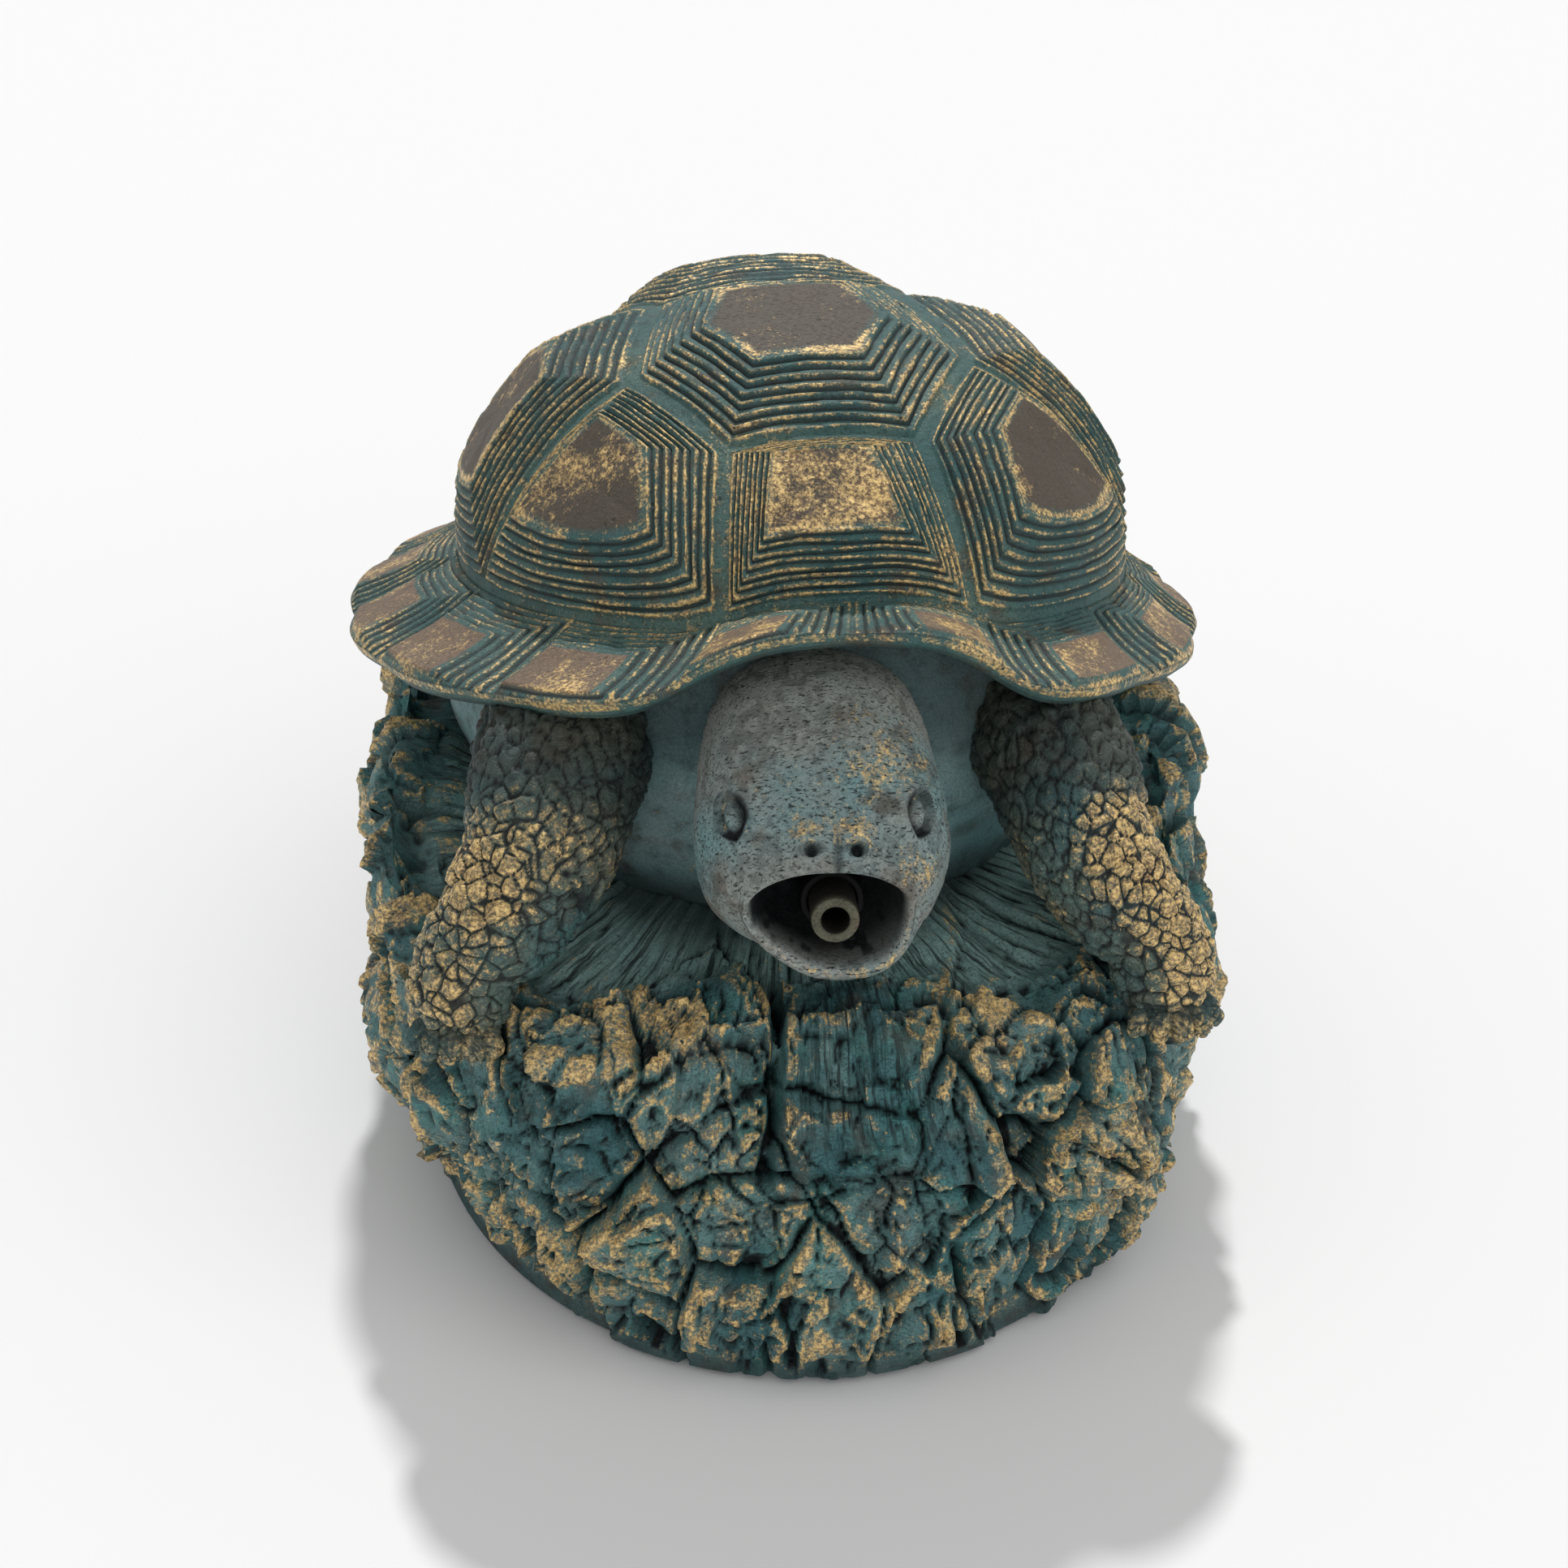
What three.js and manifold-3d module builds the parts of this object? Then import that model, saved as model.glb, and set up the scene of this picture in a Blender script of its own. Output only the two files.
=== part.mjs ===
// A turtle water spitter: a tortoise of cast resin on a hollow cast rock, with its water line inside.
// Millimetres, +Z up. The tortoise looks along -Y, and the part stands on the plane z = 0.
// Left and right are the tortoise's own, so its left side is at +X.

import * as THREE from "three";
import { mergeVertices } from "three/addons/utils/BufferGeometryUtils.js";
import Module from "manifold-3d";

const wasm = await Module();
wasm.setup();

// Placing: brings the middle of the whole part to x = 0
const CENTRE_X = 4;

// Clearances
const GLUE_LINE = 0.35; // between castings that are bonded together
const PUSH_FIT = 0.3; // radial, between the tubes, hose and rings of the water line

// Seat: top of the rock, on which the belly is bonded
const SEAT_Z = 80;

// Shell: a dome of scutes with a flared rim of marginal scutes, tipped nose up
const SHELL_X = -4; // middle of the rim
const SHELL_Y = 21;
const SHELL_LIFT = 37.5; // middle of the rim above the seat
const SHELL_Z = SEAT_Z + SHELL_LIFT;
const SHELL_PITCH = 10; // degrees, nose up
const SHELL_ROLL = 2.5; // degrees, right side up
const SHELL_YAW = 5; // degrees, nose to the tortoise's left
const DOME_HALF_WIDTH = 84;
const DOME_HALF_LENGTH = 97;
const DOME_HEIGHT = 78.5;
const DOME_SHIFT = 4.5; // of the dome on the rim, to the tortoise's left
const DOME_SWEEP = 86; // degrees from the top of the dome to its foot
const DOME_FULLNESS = 0.9; // 1 is an ellipsoid, less is squarer
const DOME_FOOT = 0.91; // share of the sweep at which the dome ends on the rim
const SHELL_WALL = 7;
const RIM_REACH = 22; // from the foot of the dome to the edge of the rim
const RIM_DROP = 2; // the edge below the foot of the dome
const RIM_SAG = 1.5;
const RIM_LIP = 7; // height of the edge
const RIM_BEVEL = 2; // how far the edge leans in below
const RIM_SCALLOP = 2.2; // bulge of each marginal scute
const UNDERSIDE_DROP = 4; // inner corner of the rim below the foot of the dome
const FRONT_RISE = 13; // of the whole front of the rim
const FRONT_BITE = 0.05; // share of the dome's sweep that the front of the rim takes from its foot
const ARCH_RISE = 16; // of the rim over the neck, above the rest of the front
const ARCH_BITE = 0.055;
const ARCH_HALF_ANGLE = 14; // degrees
const SCUTE_RISE = 5.4; // from seam to plate
const MARGINAL_RISE = 1.8;
const SCUTE_TERRACES = 3;
const MARGINAL_TERRACES = 1;
const RISER = 0.025; // a terrace's riser, as a share of its scute
const BASE_STEP = 5; // degrees between points on the rim

// Scute seams on the dome, as shares of its sweep: across the midline, v is negative in front
const VERTEBRAL_SEAMS = [
  { half: 0.185, v: -0.5 },
  { half: 0.2, v: 0 },
  { half: 0.2, v: 0.44 },
  { half: 0.19, v: 0.76 },
];
const VERTEBRAL_POINTS = [
  { half: 0.31, v: -0.25 },
  { half: 0.33, v: 0.22 },
  { half: 0.3, v: 0.6 },
];
const SCUTE_SHIFT = 0.045; // of the scutes on top, to the tortoise's right
const COSTAL_FEET = [20, 70, 105, 135, 160]; // degrees round the rim from the front
const MARGINAL_SEAMS = [0, 20, 45, 70, 90, 110, 130, 155, 180];

// Body: the belly and skin under the shell, a tub that the shell closes
const BODY_WALL = 8;
const BODY_SPIGOT = 0.9; // the tub's top edge, as a share of the dome's sweep
const BODY_FIT = 0.7; // between the tub and the shell

// Belly: widths and lengths are shares of the dome's, depths below the rim are shares of the shell's lift
const BELLY_OVALS = [
  { wide: 0.988, long: 0.969, deep: 0.4 },
  { wide: 0.952, long: 0.938, deep: 0.747 },
  { wide: 0.762, long: 0.773, deep: 1.547 },
];

// Head and neck
const HEAD_SIDES = 24;
const HEAD_LENGTH = 59.5; // from the start of the neck to the lips
const HEAD_HALF_WIDTH = 27;
const HEAD_HALF_HEIGHT = 22.5;
const NECK_INSET = 16; // start of the neck behind the front of the dome's foot
const NECK_SIDE = 9; // to the tortoise's left of the shell's middle, as the shell is turned
const LIP_SIDE = 5.4; // lips to the right of the start of the neck
const LIP_DROP = 6; // middle of the mouth below the middle of the rim
const LIP_WIDTH = 2.2; // flesh round the mouth: at the sides, above and below
const LIP_ABOVE = 1.6;
const LIP_BELOW = 2;
const MOUTH_HALF_WIDTH = 16.5;
const MOUTH_HALF_HEIGHT = 9.2;
const MOUTH_DEPTH = 20;
const EYE_RADIUS = 4.2;
const NOSTRIL_RADIUS = 1.4;
const NECK_X = SHELL_X + NECK_SIDE;
const NECK_Y = SHELL_Y - DOME_HALF_LENGTH + NECK_INSET;
const LIP_X = NECK_X - LIP_SIDE;
const LIP_Y = NECK_Y - HEAD_LENGTH;
const LIP_Z = SHELL_Z - LIP_DROP;

// Sections of the head before the lips, as shares of its length (along), its half width (half) and its half
// height (rise of the middle above the lips, up, down).
const HEAD_SECTIONS = [
  { along: 0, rise: 0.289, half: 0.722, up: 1.378, down: 0.889 },
  { along: 0.185, rise: 0.378, half: 0.796, up: 1.333, down: 0.889 },
  { along: 0.37, rise: 0.467, half: 0.889, up: 1.222, down: 0.933 },
  { along: 0.555, rise: 0.489, half: 0.981, up: 1.044, down: 1.022 },
  { along: 0.706, rise: 0.378, half: 1, up: 0.889, down: 1 },
  { along: 0.824, rise: 0.267, half: 0.907, up: 0.733, down: 0.911 },
  { along: 0.924, rise: 0.111, half: 0.796, up: 0.6, down: 0.711 },
];
const EYE = { side: 0.859, along: 0.731, rise: 0.756 };
const NOSTRIL = { side: 0.163, along: 0.891, rise: 0.689 };

// Legs. Their paths run from the shoulder to the paw: side as a share of the dome's half width, back from
// the middle of the rim as a share of its half length, height above the seat as a share of the shell's lift.
const FRONT_LEG = {
  radius: 22,
  heading: 12, // degrees that the paw turns out
  rings: 11, // of scales
  path: [
    { side: 0.595, back: -0.68, high: 1.173, share: 1 },
    { side: 0.667, back: -0.918, high: 1.067, share: 0.91 },
    { side: 0.714, back: -1.072, high: 0.8, share: 0.77 },
    { side: 0.81, back: -1.165, high: 0.507, share: 0.64 },
    { side: 0.893, back: -1.19, high: 0.28, share: 0.523 },
    { side: 0.93, back: -1.2, high: 0, share: 0.523 },
  ],
};
const HIND_LEG = {
  radius: 17,
  heading: 80,
  rings: 7,
  path: [
    { side: 0.571, back: 0.237, high: 0.693, share: 1 },
    { side: 0.738, back: 0.351, high: 0.56, share: 0.882 },
    { side: 0.857, back: 0.423, high: 0.373, share: 0.735 },
    { side: 0.917, back: 0.464, high: 0.22, share: 0.647 },
  ],
};
const LEG_SIDES = 14;
const SCALE_RELIEF = 1.2; // of the large scales on the legs
const CLAW_RADIUS = 3.2;
const CLAW_LENGTH = 6;
const CLAW_SPREAD = 26; // degrees between claws
const PAW_FLATNESS = 0.75;

// Rock
const ROCK_Y = -10; // middle of its foot
const ROCK_HALF_WIDTH = 106;
const ROCK_HALF_LENGTH = 130;
const ROCK_UNDERCUT = 0.07; // of the flanks, towards the foot
const ROCK_BELLY = 0.05; // of the flanks, half way up
const ROCK_LEAN = -4; // of the top, to the tortoise's right
const ROCK_WALL = 13;
const ROCK_ROOF = 16; // below the seat
const SHOULDER_RISE = 6; // mean height of the shoulder above the seat
const SHOULDER_FRONT = -1; // more height of the shoulder in front
const SHOULDER_SIDE = 11; // and at the sides
const PAW_DIP = 11.5; // depth of the dip of the shoulder under each front paw
const PAW_DIP_ANGLE = 45; // degrees from the front
const PAW_DIP_SPAN = 20; // degrees
const ROCK_SQUARENESS = 2.7; // of the shoulder's plan: 2 is an ellipse
const ROCK_FOOT_SQUARENESS = 2.15;
const ROCK_FACE = 72; // degrees on either side of the front that the cracked face takes in
const ROCK_FACE_STEP = 4; // degrees between points on the cracked face
const ROCK_BACK_STEP = 12; // and behind it
const HOLLOW_SIDES = 24;
const ROCK_STEP = 4; // how far a block of stone steps in or out
const CRACK_DEPTH = 4;
const CRACK_WIDTH = 2.5;

// Outline of the flank from the foot to the shoulder: share of the way in, share of the seat's or the
// shoulder's height, and how many rows of points lead up to it.
const ROCK_FLANK = [
  { share: 0, high: 0.19, rows: 1 },
  { share: 0.22, high: 0.41, rows: 3 },
  { share: 0.5, high: 0.62, rows: 3 },
  { share: 0.8, high: 0.83, rows: 2 },
  { share: 0.97, high: 0.95, rows: 1 },
];

// Blocks of the cracked face: degrees from the front, height as a share of the seat's, reach as a share of
// the rock's half sizes, steps that the block stands out, and how much it leans out upwards.
const ROCK_BLOCKS = [
  { turn: -40, high: 0.94, reach: 0.66, out: 0.7, lean: 0 },
  { turn: -33, high: 0.89, reach: 0.82, out: 1.3, lean: 0.15 },
  { turn: -18, high: 0.92, reach: 0.75, out: 1.3, lean: 0.1 },
  { turn: -7, high: 0.85, reach: 0.76, out: -2.2, lean: 0 },
  { turn: 8, high: 0.85, reach: 0.78, out: 1.6, lean: 0.15 },
  { turn: 12, high: 0.95, reach: 0.6, out: 0.7, lean: 0 },
  { turn: 30, high: 0.89, reach: 0.86, out: 1, lean: 0.2 },
  { turn: 40, high: 0.91, reach: 0.75, out: 0.7, lean: 0 },
  { turn: -42, high: 0.81, reach: 0.97, out: 0.3, lean: 0 },
  { turn: -15, high: 0.8, reach: 0.81, out: 1, lean: 0.1 },
  { turn: 43, high: 0.75, reach: 0.99, out: 1, lean: 0 },
  { turn: -30, high: 0.64, reach: 0.95, out: 0.3, lean: 0.2 },
  { turn: -13, high: 0.66, reach: 0.84, out: 1, lean: 0.15 },
  { turn: 6, high: 0.69, reach: 0.81, out: 1.6, lean: 0.35 },
  { turn: 28, high: 0.72, reach: 0.92, out: -2.2, lean: 0 },
  { turn: 19, high: 0.62, reach: 0.89, out: 1.3, lean: 0 },
  { turn: 36, high: 0.59, reach: 0.99, out: 1.3, lean: 0.1 },
  { turn: -46, high: 0.5, reach: 0.97, out: 0.3, lean: 0.1 },
  { turn: -22, high: 0.39, reach: 0.97, out: 0.7, lean: 0.15 },
  { turn: -11, high: 0.49, reach: 0.91, out: 0.3, lean: 0.2 },
  { turn: 6, high: 0.45, reach: 0.88, out: 0.7, lean: 0.2 },
  { turn: 22, high: 0.4, reach: 0.95, out: 0.3, lean: 0.1 },
  { turn: -34, high: 0.3, reach: 0.97, out: 0.3, lean: 0.15 },
  { turn: 0, high: 0.25, reach: 0.96, out: 0.3, lean: 0 },
  { turn: 13, high: 0.21, reach: 0.97, out: 0.4, lean: 0 },
  { turn: 36, high: 0.28, reach: 0.98, out: 0.7, lean: 0 },
  { turn: -12, high: 0.21, reach: 0.97, out: 0.4, lean: 0 },
  { turn: -24, high: 0.16, reach: 0.97, out: 0.3, lean: 0 },
];
const PAD_THICKNESS = 2;
const PAD_RADIUS = 4.5;
const PAD_INSET = 0.075; // from the edge of the rock's foot, as a share of its half sizes

// Water line
const NOZZLE_SIDE = 2.8; // tip of the nozzle from the middle of the mouth
const NOZZLE_PROUD = 1.5;
const NOZZLE_RISE = 3;
const NOZZLE_PITCH = 9; // degrees, spouting upwards
const NOZZLE_OUTER = 5; // radius
const NOZZLE_BORE = 3;
const NOZZLE_LENGTH = 82;
const BUSH_WALL = 1.4;
const BUSH_LENGTH = 24;
const BUSH_SETBACK = 10; // from the tip of the nozzle to the front of the bush
const HOSE_WALL = 2;
const HOSE_OVERLAP = 15; // on the nozzle and on the inlet
const HOSE_BEND = 14; // straight run of the hose behind the nozzle
const HOSE_STEPS = 16;
const HOSE_SEGMENTS = 6; // to a half circle of the hose's section
const PASSAGE_CLEARANCE = 4; // round the hose, through the belly and the roof of the rock
const CLIP_BAND = 1;
const CLIP_WIDTH = 8;
const CLIP_EAR = 5;
const INLET_Z = 28;
const INLET_SETBACK = 16; // flat under the gasket, in from the back of the rock
const INLET_WALL = 9; // of rock between gasket and nut
const INLET_BORE = 3; // radius
const SHANK_RADIUS = 7;
const FLANGE_RADIUS = 13;
const FLANGE_THICKNESS = 4;
const GASKET_THICKNESS = 2;
const NUT_THICKNESS = 6;
const NUT_ACROSS_FLATS = 22;
const BARB_LENGTH = 18;
const BARB_HEIGHT = 0.8;
const BARBS = 2; // at each end
const OUTER_BARB_RADIUS = 6.6; // takes a half-inch hose
const ROUND = 16; // sides of a small round piece
const INLET_SEAT_Y = ROCK_Y + ROCK_HALF_LENGTH - INLET_SETBACK;

const rad = THREE.MathUtils.degToRad;
const v3 = (x, y, z) => new THREE.Vector3(x, y, z);
const bump = (x, width, power) => Math.exp(-Math.pow(Math.abs(x) / width, power));

// Solids

// A closed surface from a list of triangles, each three points, facing out.
function surface(triangles) {
  const loose = new THREE.BufferGeometry().setFromPoints(triangles.flat());
  loose.deleteAttribute("normal");
  const geometry = mergeVertices(loose, 1e-3);
  let volume = 0;
  for (const [a, b, c] of triangles) volume += a.dot(v3().crossVectors(b, c));
  if (volume < 0) geometry.index.array.reverse();
  return geometry;
}

// Triangles between two rings of as many points.
function between(low, high) {
  return low.flatMap((a, i) => {
    const j = (i + 1) % low.length;
    return [
      [a, low[j], high[j]],
      [a, high[j], high[i]],
    ];
  });
}

// Triangles from a ring to one point.
function fan(ring, tip) {
  return ring.map((a, i) => [a, ring[(i + 1) % ring.length], tip]);
}

function middle(ring) {
  return ring.reduce((sum, p) => sum.add(p), v3(0, 0, 0)).divideScalar(ring.length);
}

// A closed loft through rings of as many points, with its two ends capped.
function loft(rings) {
  const triangles = rings.slice(1).flatMap((ring, i) => between(rings[i], ring));
  const last = rings[rings.length - 1];
  const foot = fan([...rings[0]].reverse(), middle(rings[0]));
  return surface([...triangles, ...fan(last, middle(last)), ...foot]);
}

function toSolid(geometry) {
  const bare = geometry.clone();
  for (const name of ["normal", "uv"]) bare.deleteAttribute(name);
  const merged = mergeVertices(bare, 1e-3);
  const triVerts = new Uint32Array(merged.index.array);
  const vertProperties = merged.attributes.position.array;
  return new wasm.Manifold(new wasm.Mesh({ numProp: 3, vertProperties, triVerts }));
}

function toGeometry(solid) {
  const { vertProperties, triVerts } = solid.getMesh();
  const geometry = new THREE.BufferGeometry();
  geometry.setAttribute("position", new THREE.BufferAttribute(vertProperties, 3));
  geometry.setIndex(new THREE.BufferAttribute(triVerts, 1));
  return geometry;
}

// One geometry less others.
function cut(geometry, ...tools) {
  return toGeometry(tools.reduce((solid, tool) => solid.subtract(toSolid(tool)), toSolid(geometry)));
}

function join(geometry, ...others) {
  return toGeometry(others.reduce((solid, other) => solid.add(toSolid(other)), toSolid(geometry)));
}

// A ring of points on a superellipse across Y, with its upper and lower halves of different height.
function sectionAcrossY({ x, y, z, half, up, down, power = 2.3 }, sides = HEAD_SIDES) {
  return Array.from({ length: sides }, (_, i) => {
    const a = (2 * Math.PI * i) / sides;
    const [c, s] = [Math.cos(a), Math.sin(a)];
    const round = (t) => Math.sign(t) * Math.pow(Math.abs(t), 2 / power);
    return v3(x + half * round(c), y, z + (s > 0 ? up : down) * round(s));
  });
}

// A solid of revolution about Y from a profile of [radius, y] corners that closes on itself.
function turnedAboutY(profile, sides = ROUND) {
  const points = [...profile, profile[0]].map(([radius, y]) => new THREE.Vector2(radius, y));
  const geometry = new THREE.LatheGeometry(points, sides);
  return surface(trianglesOf(geometry));
}

function trianglesOf(geometry) {
  const flat = geometry.index ? geometry.toNonIndexed() : geometry;
  const position = flat.getAttribute("position");
  const corners = Array.from({ length: position.count }, (_, i) => v3().fromBufferAttribute(position, i));
  const triangles = [];
  for (let i = 0; i < corners.length; i += 3) {
    const triangle = corners.slice(i, i + 3);
    const [a, b, c] = triangle;
    if (v3().crossVectors(b.clone().sub(a), c.clone().sub(a)).length() > 1e-6) triangles.push(triangle);
  }
  return triangles;
}

// A round bar along Y, for holes.
function rodAlongY(radius, from, to, x, z, sides = ROUND) {
  return new THREE.CylinderGeometry(radius, radius, to - from, sides).translate(x, (from + to) / 2, z);
}

// Frame of the shell: its origin is the middle of the rim, and it is tipped nose up.
const shellFrame = new THREE.Matrix4()
  .makeRotationFromEuler(new THREE.Euler(-rad(SHELL_PITCH), rad(SHELL_ROLL), rad(SHELL_YAW), "ZYX"))
  .setPosition(SHELL_X, SHELL_Y, SHELL_Z);

// Shape of the shell, in the shell's own frame

const rimAngles = Array.from({ length: 360 / BASE_STEP }, (_, i) => i * BASE_STEP);

// Degrees from the front, between -180 and 180.
const fromFront = (angle) => ((((angle + 180) % 360) + 360) % 360) - 180;
const archAt = (angle) => bump(fromFront(angle), ARCH_HALF_ANGLE, 2.5);
const frontAt = (angle) => Math.max(0, Math.cos(rad(angle))) ** 2;

// A point of the dome over (u, v), shares of its sweep to the right and to the back, drawn in by a wall.
function dome([u, v], lift = 0, wall = 0) {
  const share = Math.max(Math.hypot(u, v), 1e-9);
  const sweep = rad(DOME_SWEEP);
  const full = (t) => Math.pow(t, DOME_FULLNESS);
  const spread = full(Math.sin(share * sweep) / Math.sin(sweep)) / share;
  const [a, b, h] = [DOME_HALF_WIDTH - wall, DOME_HALF_LENGTH - wall, DOME_HEIGHT - wall];
  const foot = full(Math.cos(sweep));
  const height = (full(Math.cos(share * sweep)) - foot) / (1 - foot);
  const point = v3(a * spread * u, b * spread * v, h * height);
  const normal = v3(point.x / a ** 2, point.y / b ** 2, (point.z + 1) / h ** 2).normalize();
  point.x += DOME_SHIFT;
  return point.addScaledVector(normal, lift);
}

// Foot of the dome at an angle from the front. The arch over the neck lifts it.
function domeFoot(angle, share = 1) {
  const reach = share * (DOME_FOOT - ARCH_BITE * archAt(angle) - FRONT_BITE * frontAt(angle));
  return [reach * Math.sin(rad(angle)), -reach * Math.cos(rad(angle))];
}

// Share of the way across its marginal scute, from 0 to 1.
function acrossMarginal(angle) {
  const turn = Math.abs(fromFront(angle));
  const k = Math.min(
    MARGINAL_SEAMS.findLastIndex((seam) => seam <= turn + 1e-6),
    MARGINAL_SEAMS.length - 2,
  );
  return (turn - MARGINAL_SEAMS[k]) / (MARGINAL_SEAMS[k + 1] - MARGINAL_SEAMS[k]);
}

// Edge of the rim at an angle from the front.
function rimEdge(angle, out = 0, down = 0) {
  const bulge = RIM_SCALLOP * Math.sin(Math.PI * acrossMarginal(angle)) + out - RIM_SCALLOP;
  const [a, b] = [DOME_HALF_WIDTH + RIM_REACH + bulge, DOME_HALF_LENGTH + RIM_REACH + bulge];
  const z = ARCH_RISE * archAt(angle) + FRONT_RISE * frontAt(angle) - RIM_DROP - down;
  return v3(a * Math.sin(rad(angle)), -b * Math.cos(rad(angle)), z);
}

// A point of the rim's upper face: width runs from the foot of the dome to the edge.
function rimTop([angle, width], lift = 0) {
  const point = dome(domeFoot(angle)).lerp(rimEdge(angle), width);
  point.z += lift - RIM_SAG * Math.sin(Math.PI * width);
  return point;
}

// Inner corner of the rim's underside, where the dome's inner face starts.
function rimCorner(angle, inset = 0) {
  const point = dome(domeFoot(angle), 0, SHELL_WALL + inset);
  point.z -= UNDERSIDE_DROP;
  return point;
}

// Carapace: every scute is a stack of terraces that shrinks towards its own plate

// Points from a to b, without b. Neighbours walk a seam both ways, so it is divided from the same end.
function seam(a, b) {
  const turned = a[0] > b[0] || (a[0] === b[0] && a[1] > b[1]);
  const [from, to] = turned ? [b, a] : [a, b];
  const steps = Math.max(1, Math.round(Math.hypot(to[0] - from[0], to[1] - from[1]) / 0.2));
  const points = Array.from({ length: steps + 1 }, (_, i) => [
    from[0] + ((to[0] - from[0]) * i) / steps,
    from[1] + ((to[1] - from[1]) * i) / steps,
  ]);
  return (turned ? points.reverse() : points).slice(0, -1);
}

// Points on the foot of the dome from one angle to another, without the last.
function footArc(from, to) {
  const steps = Math.round((to - from) / BASE_STEP);
  return Array.from({ length: steps }, (_, i) => domeFoot(from + i * BASE_STEP));
}

function outlineOf(...corners) {
  return corners.flatMap((corner, i) => seam(corner, corners[(i + 1) % corners.length]));
}

// Triangles of one scute. Its rings shrink towards the focus, and place() puts a point of a ring in space.
function scute(outline, focus, plate, terraces, rise, place) {
  const ringAt = (share, height) =>
    outline.map(([p, q]) =>
      place([focus[0] + share * (p - focus[0]), focus[1] + share * (q - focus[1])], height),
    );
  const rings = [ringAt(1, 0)];
  for (let k = 1; k <= terraces; k++) {
    const share = 1 - ((1 - plate) * k) / terraces;
    rings.push(ringAt(share + RISER, (rise * (k - 1)) / terraces), ringAt(share, (rise * k) / terraces));
  }
  const walls = rings.slice(1).flatMap((ring, i) => between(rings[i], ring));
  return [...walls, ...fan(rings[rings.length - 1], place(focus, rise))];
}

function mirrored(outline) {
  return outline.map(([u, v]) => [-u, v]).reverse();
}

// A point of a scute on the dome. The scutes sit off the middle on top, and on it at the foot.
function onDome([u, v], lift) {
  const foot = Math.hypot(...domeFoot(THREE.MathUtils.radToDeg(Math.atan2(u, -v))));
  const above = Math.max(0, 1 - (Math.hypot(u, v) / foot) ** 2);
  return dome([u - SCUTE_SHIFT * above, v], lift);
}

function domeScutes() {
  const right = ({ half, v }) => [half, v];
  const left = ({ half, v }) => [-half, v];
  const [s1, s2, s3, s4] = VERTEBRAL_SEAMS;
  const [p2, p3, p4] = VERTEBRAL_POINTS;
  const foot = COSTAL_FEET.map((angle) => domeFoot(angle));
  const leftFoot = (k) => [-foot[k][0], foot[k][1]];
  const last = COSTAL_FEET.length - 1;

  const hexagon = (front, side, back) =>
    outlineOf(left(front), right(front), right(side), right(back), left(back), left(side));
  const vertebrals = [
    {
      outline: [
        ...footArc(-COSTAL_FEET[0], COSTAL_FEET[0]),
        ...seam(foot[0], right(s1)),
        ...seam(right(s1), left(s1)),
        ...seam(left(s1), leftFoot(0)),
      ],
      focus: [0, -0.59],
    },
    { outline: hexagon(s1, p2, s2), focus: [0, -0.2] },
    { outline: hexagon(s2, p3, s3), focus: [0, 0.25] },
    { outline: hexagon(s3, p4, s4), focus: [0, 0.61] },
    {
      outline: [
        ...seam(left(s4), right(s4)),
        ...seam(right(s4), foot[last]),
        ...footArc(COSTAL_FEET[last], 360 - COSTAL_FEET[last]),
        ...seam(leftFoot(last), left(s4)),
      ],
      focus: [0, 0.84],
    },
  ];

  const costal = (k, inner, focus) => ({
    outline: [
      ...footArc(COSTAL_FEET[k], COSTAL_FEET[k + 1]),
      ...[foot[k + 1], ...inner].flatMap((from, i, all) => seam(from, all[i + 1] ?? foot[k])),
    ],
    focus,
  });
  const costals = [
    costal(0, [right(p2), right(s1)], [0.45, -0.42]),
    costal(1, [right(p3), right(s2), right(p2)], [0.6, 0.0]),
    costal(2, [right(p4), right(s3), right(p3)], [0.56, 0.42]),
    costal(3, [right(s4), right(p4)], [0.43, 0.69]),
  ];
  const leftCostals = costals.map(({ outline, focus }) => ({
    outline: mirrored(outline),
    focus: [-focus[0], focus[1]],
  }));
  const plate = 0.45;
  return [...vertebrals, ...costals, ...leftCostals].flatMap(({ outline, focus }) =>
    scute(outline, focus, plate, SCUTE_TERRACES, SCUTE_RISE, onDome),
  );
}

function marginalScutes() {
  const spans = MARGINAL_SEAMS.slice(1).map((to, i) => [MARGINAL_SEAMS[i], to]);
  const all = [...spans, ...spans.map(([from, to]) => [360 - to, 360 - from])];
  return all.flatMap(([from, to]) => {
    const steps = (to - from) / BASE_STEP;
    const along = (width) => Array.from({ length: steps + 1 }, (_, i) => [from + i * BASE_STEP, width]);
    const outline = [...along(1), [to, 0.5], ...along(0).reverse(), [from, 0.5]];
    const focus = [(from + to) / 2, 0.62];
    return scute(outline, focus, 0.55, MARGINAL_TERRACES, MARGINAL_RISE, rimTop);
  });
}

// The underside of the rim and the inside of the dome, facing down and in.
function innerFaces() {
  const rings = [
    rimAngles.map((angle) => rimEdge(angle)),
    rimAngles.map((angle) => rimEdge(angle, -RIM_BEVEL, RIM_LIP)),
    rimAngles.map((angle) => rimCorner(angle)),
    ...[BODY_SPIGOT, 0.5].map((share) =>
      rimAngles.map((angle) => dome(domeFoot(angle, share), 0, SHELL_WALL)),
    ),
  ];
  const walls = rings.slice(1).flatMap((ring, i) => between(rings[i], ring));
  const top = fan(rings[rings.length - 1], dome([0, 0], 0, SHELL_WALL));
  return [...walls, ...top].map(([a, b, c]) => [a, c, b]);
}

function carapace() {
  return surface([...domeScutes(), ...marginalScutes(), ...innerFaces()]);
}

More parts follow.
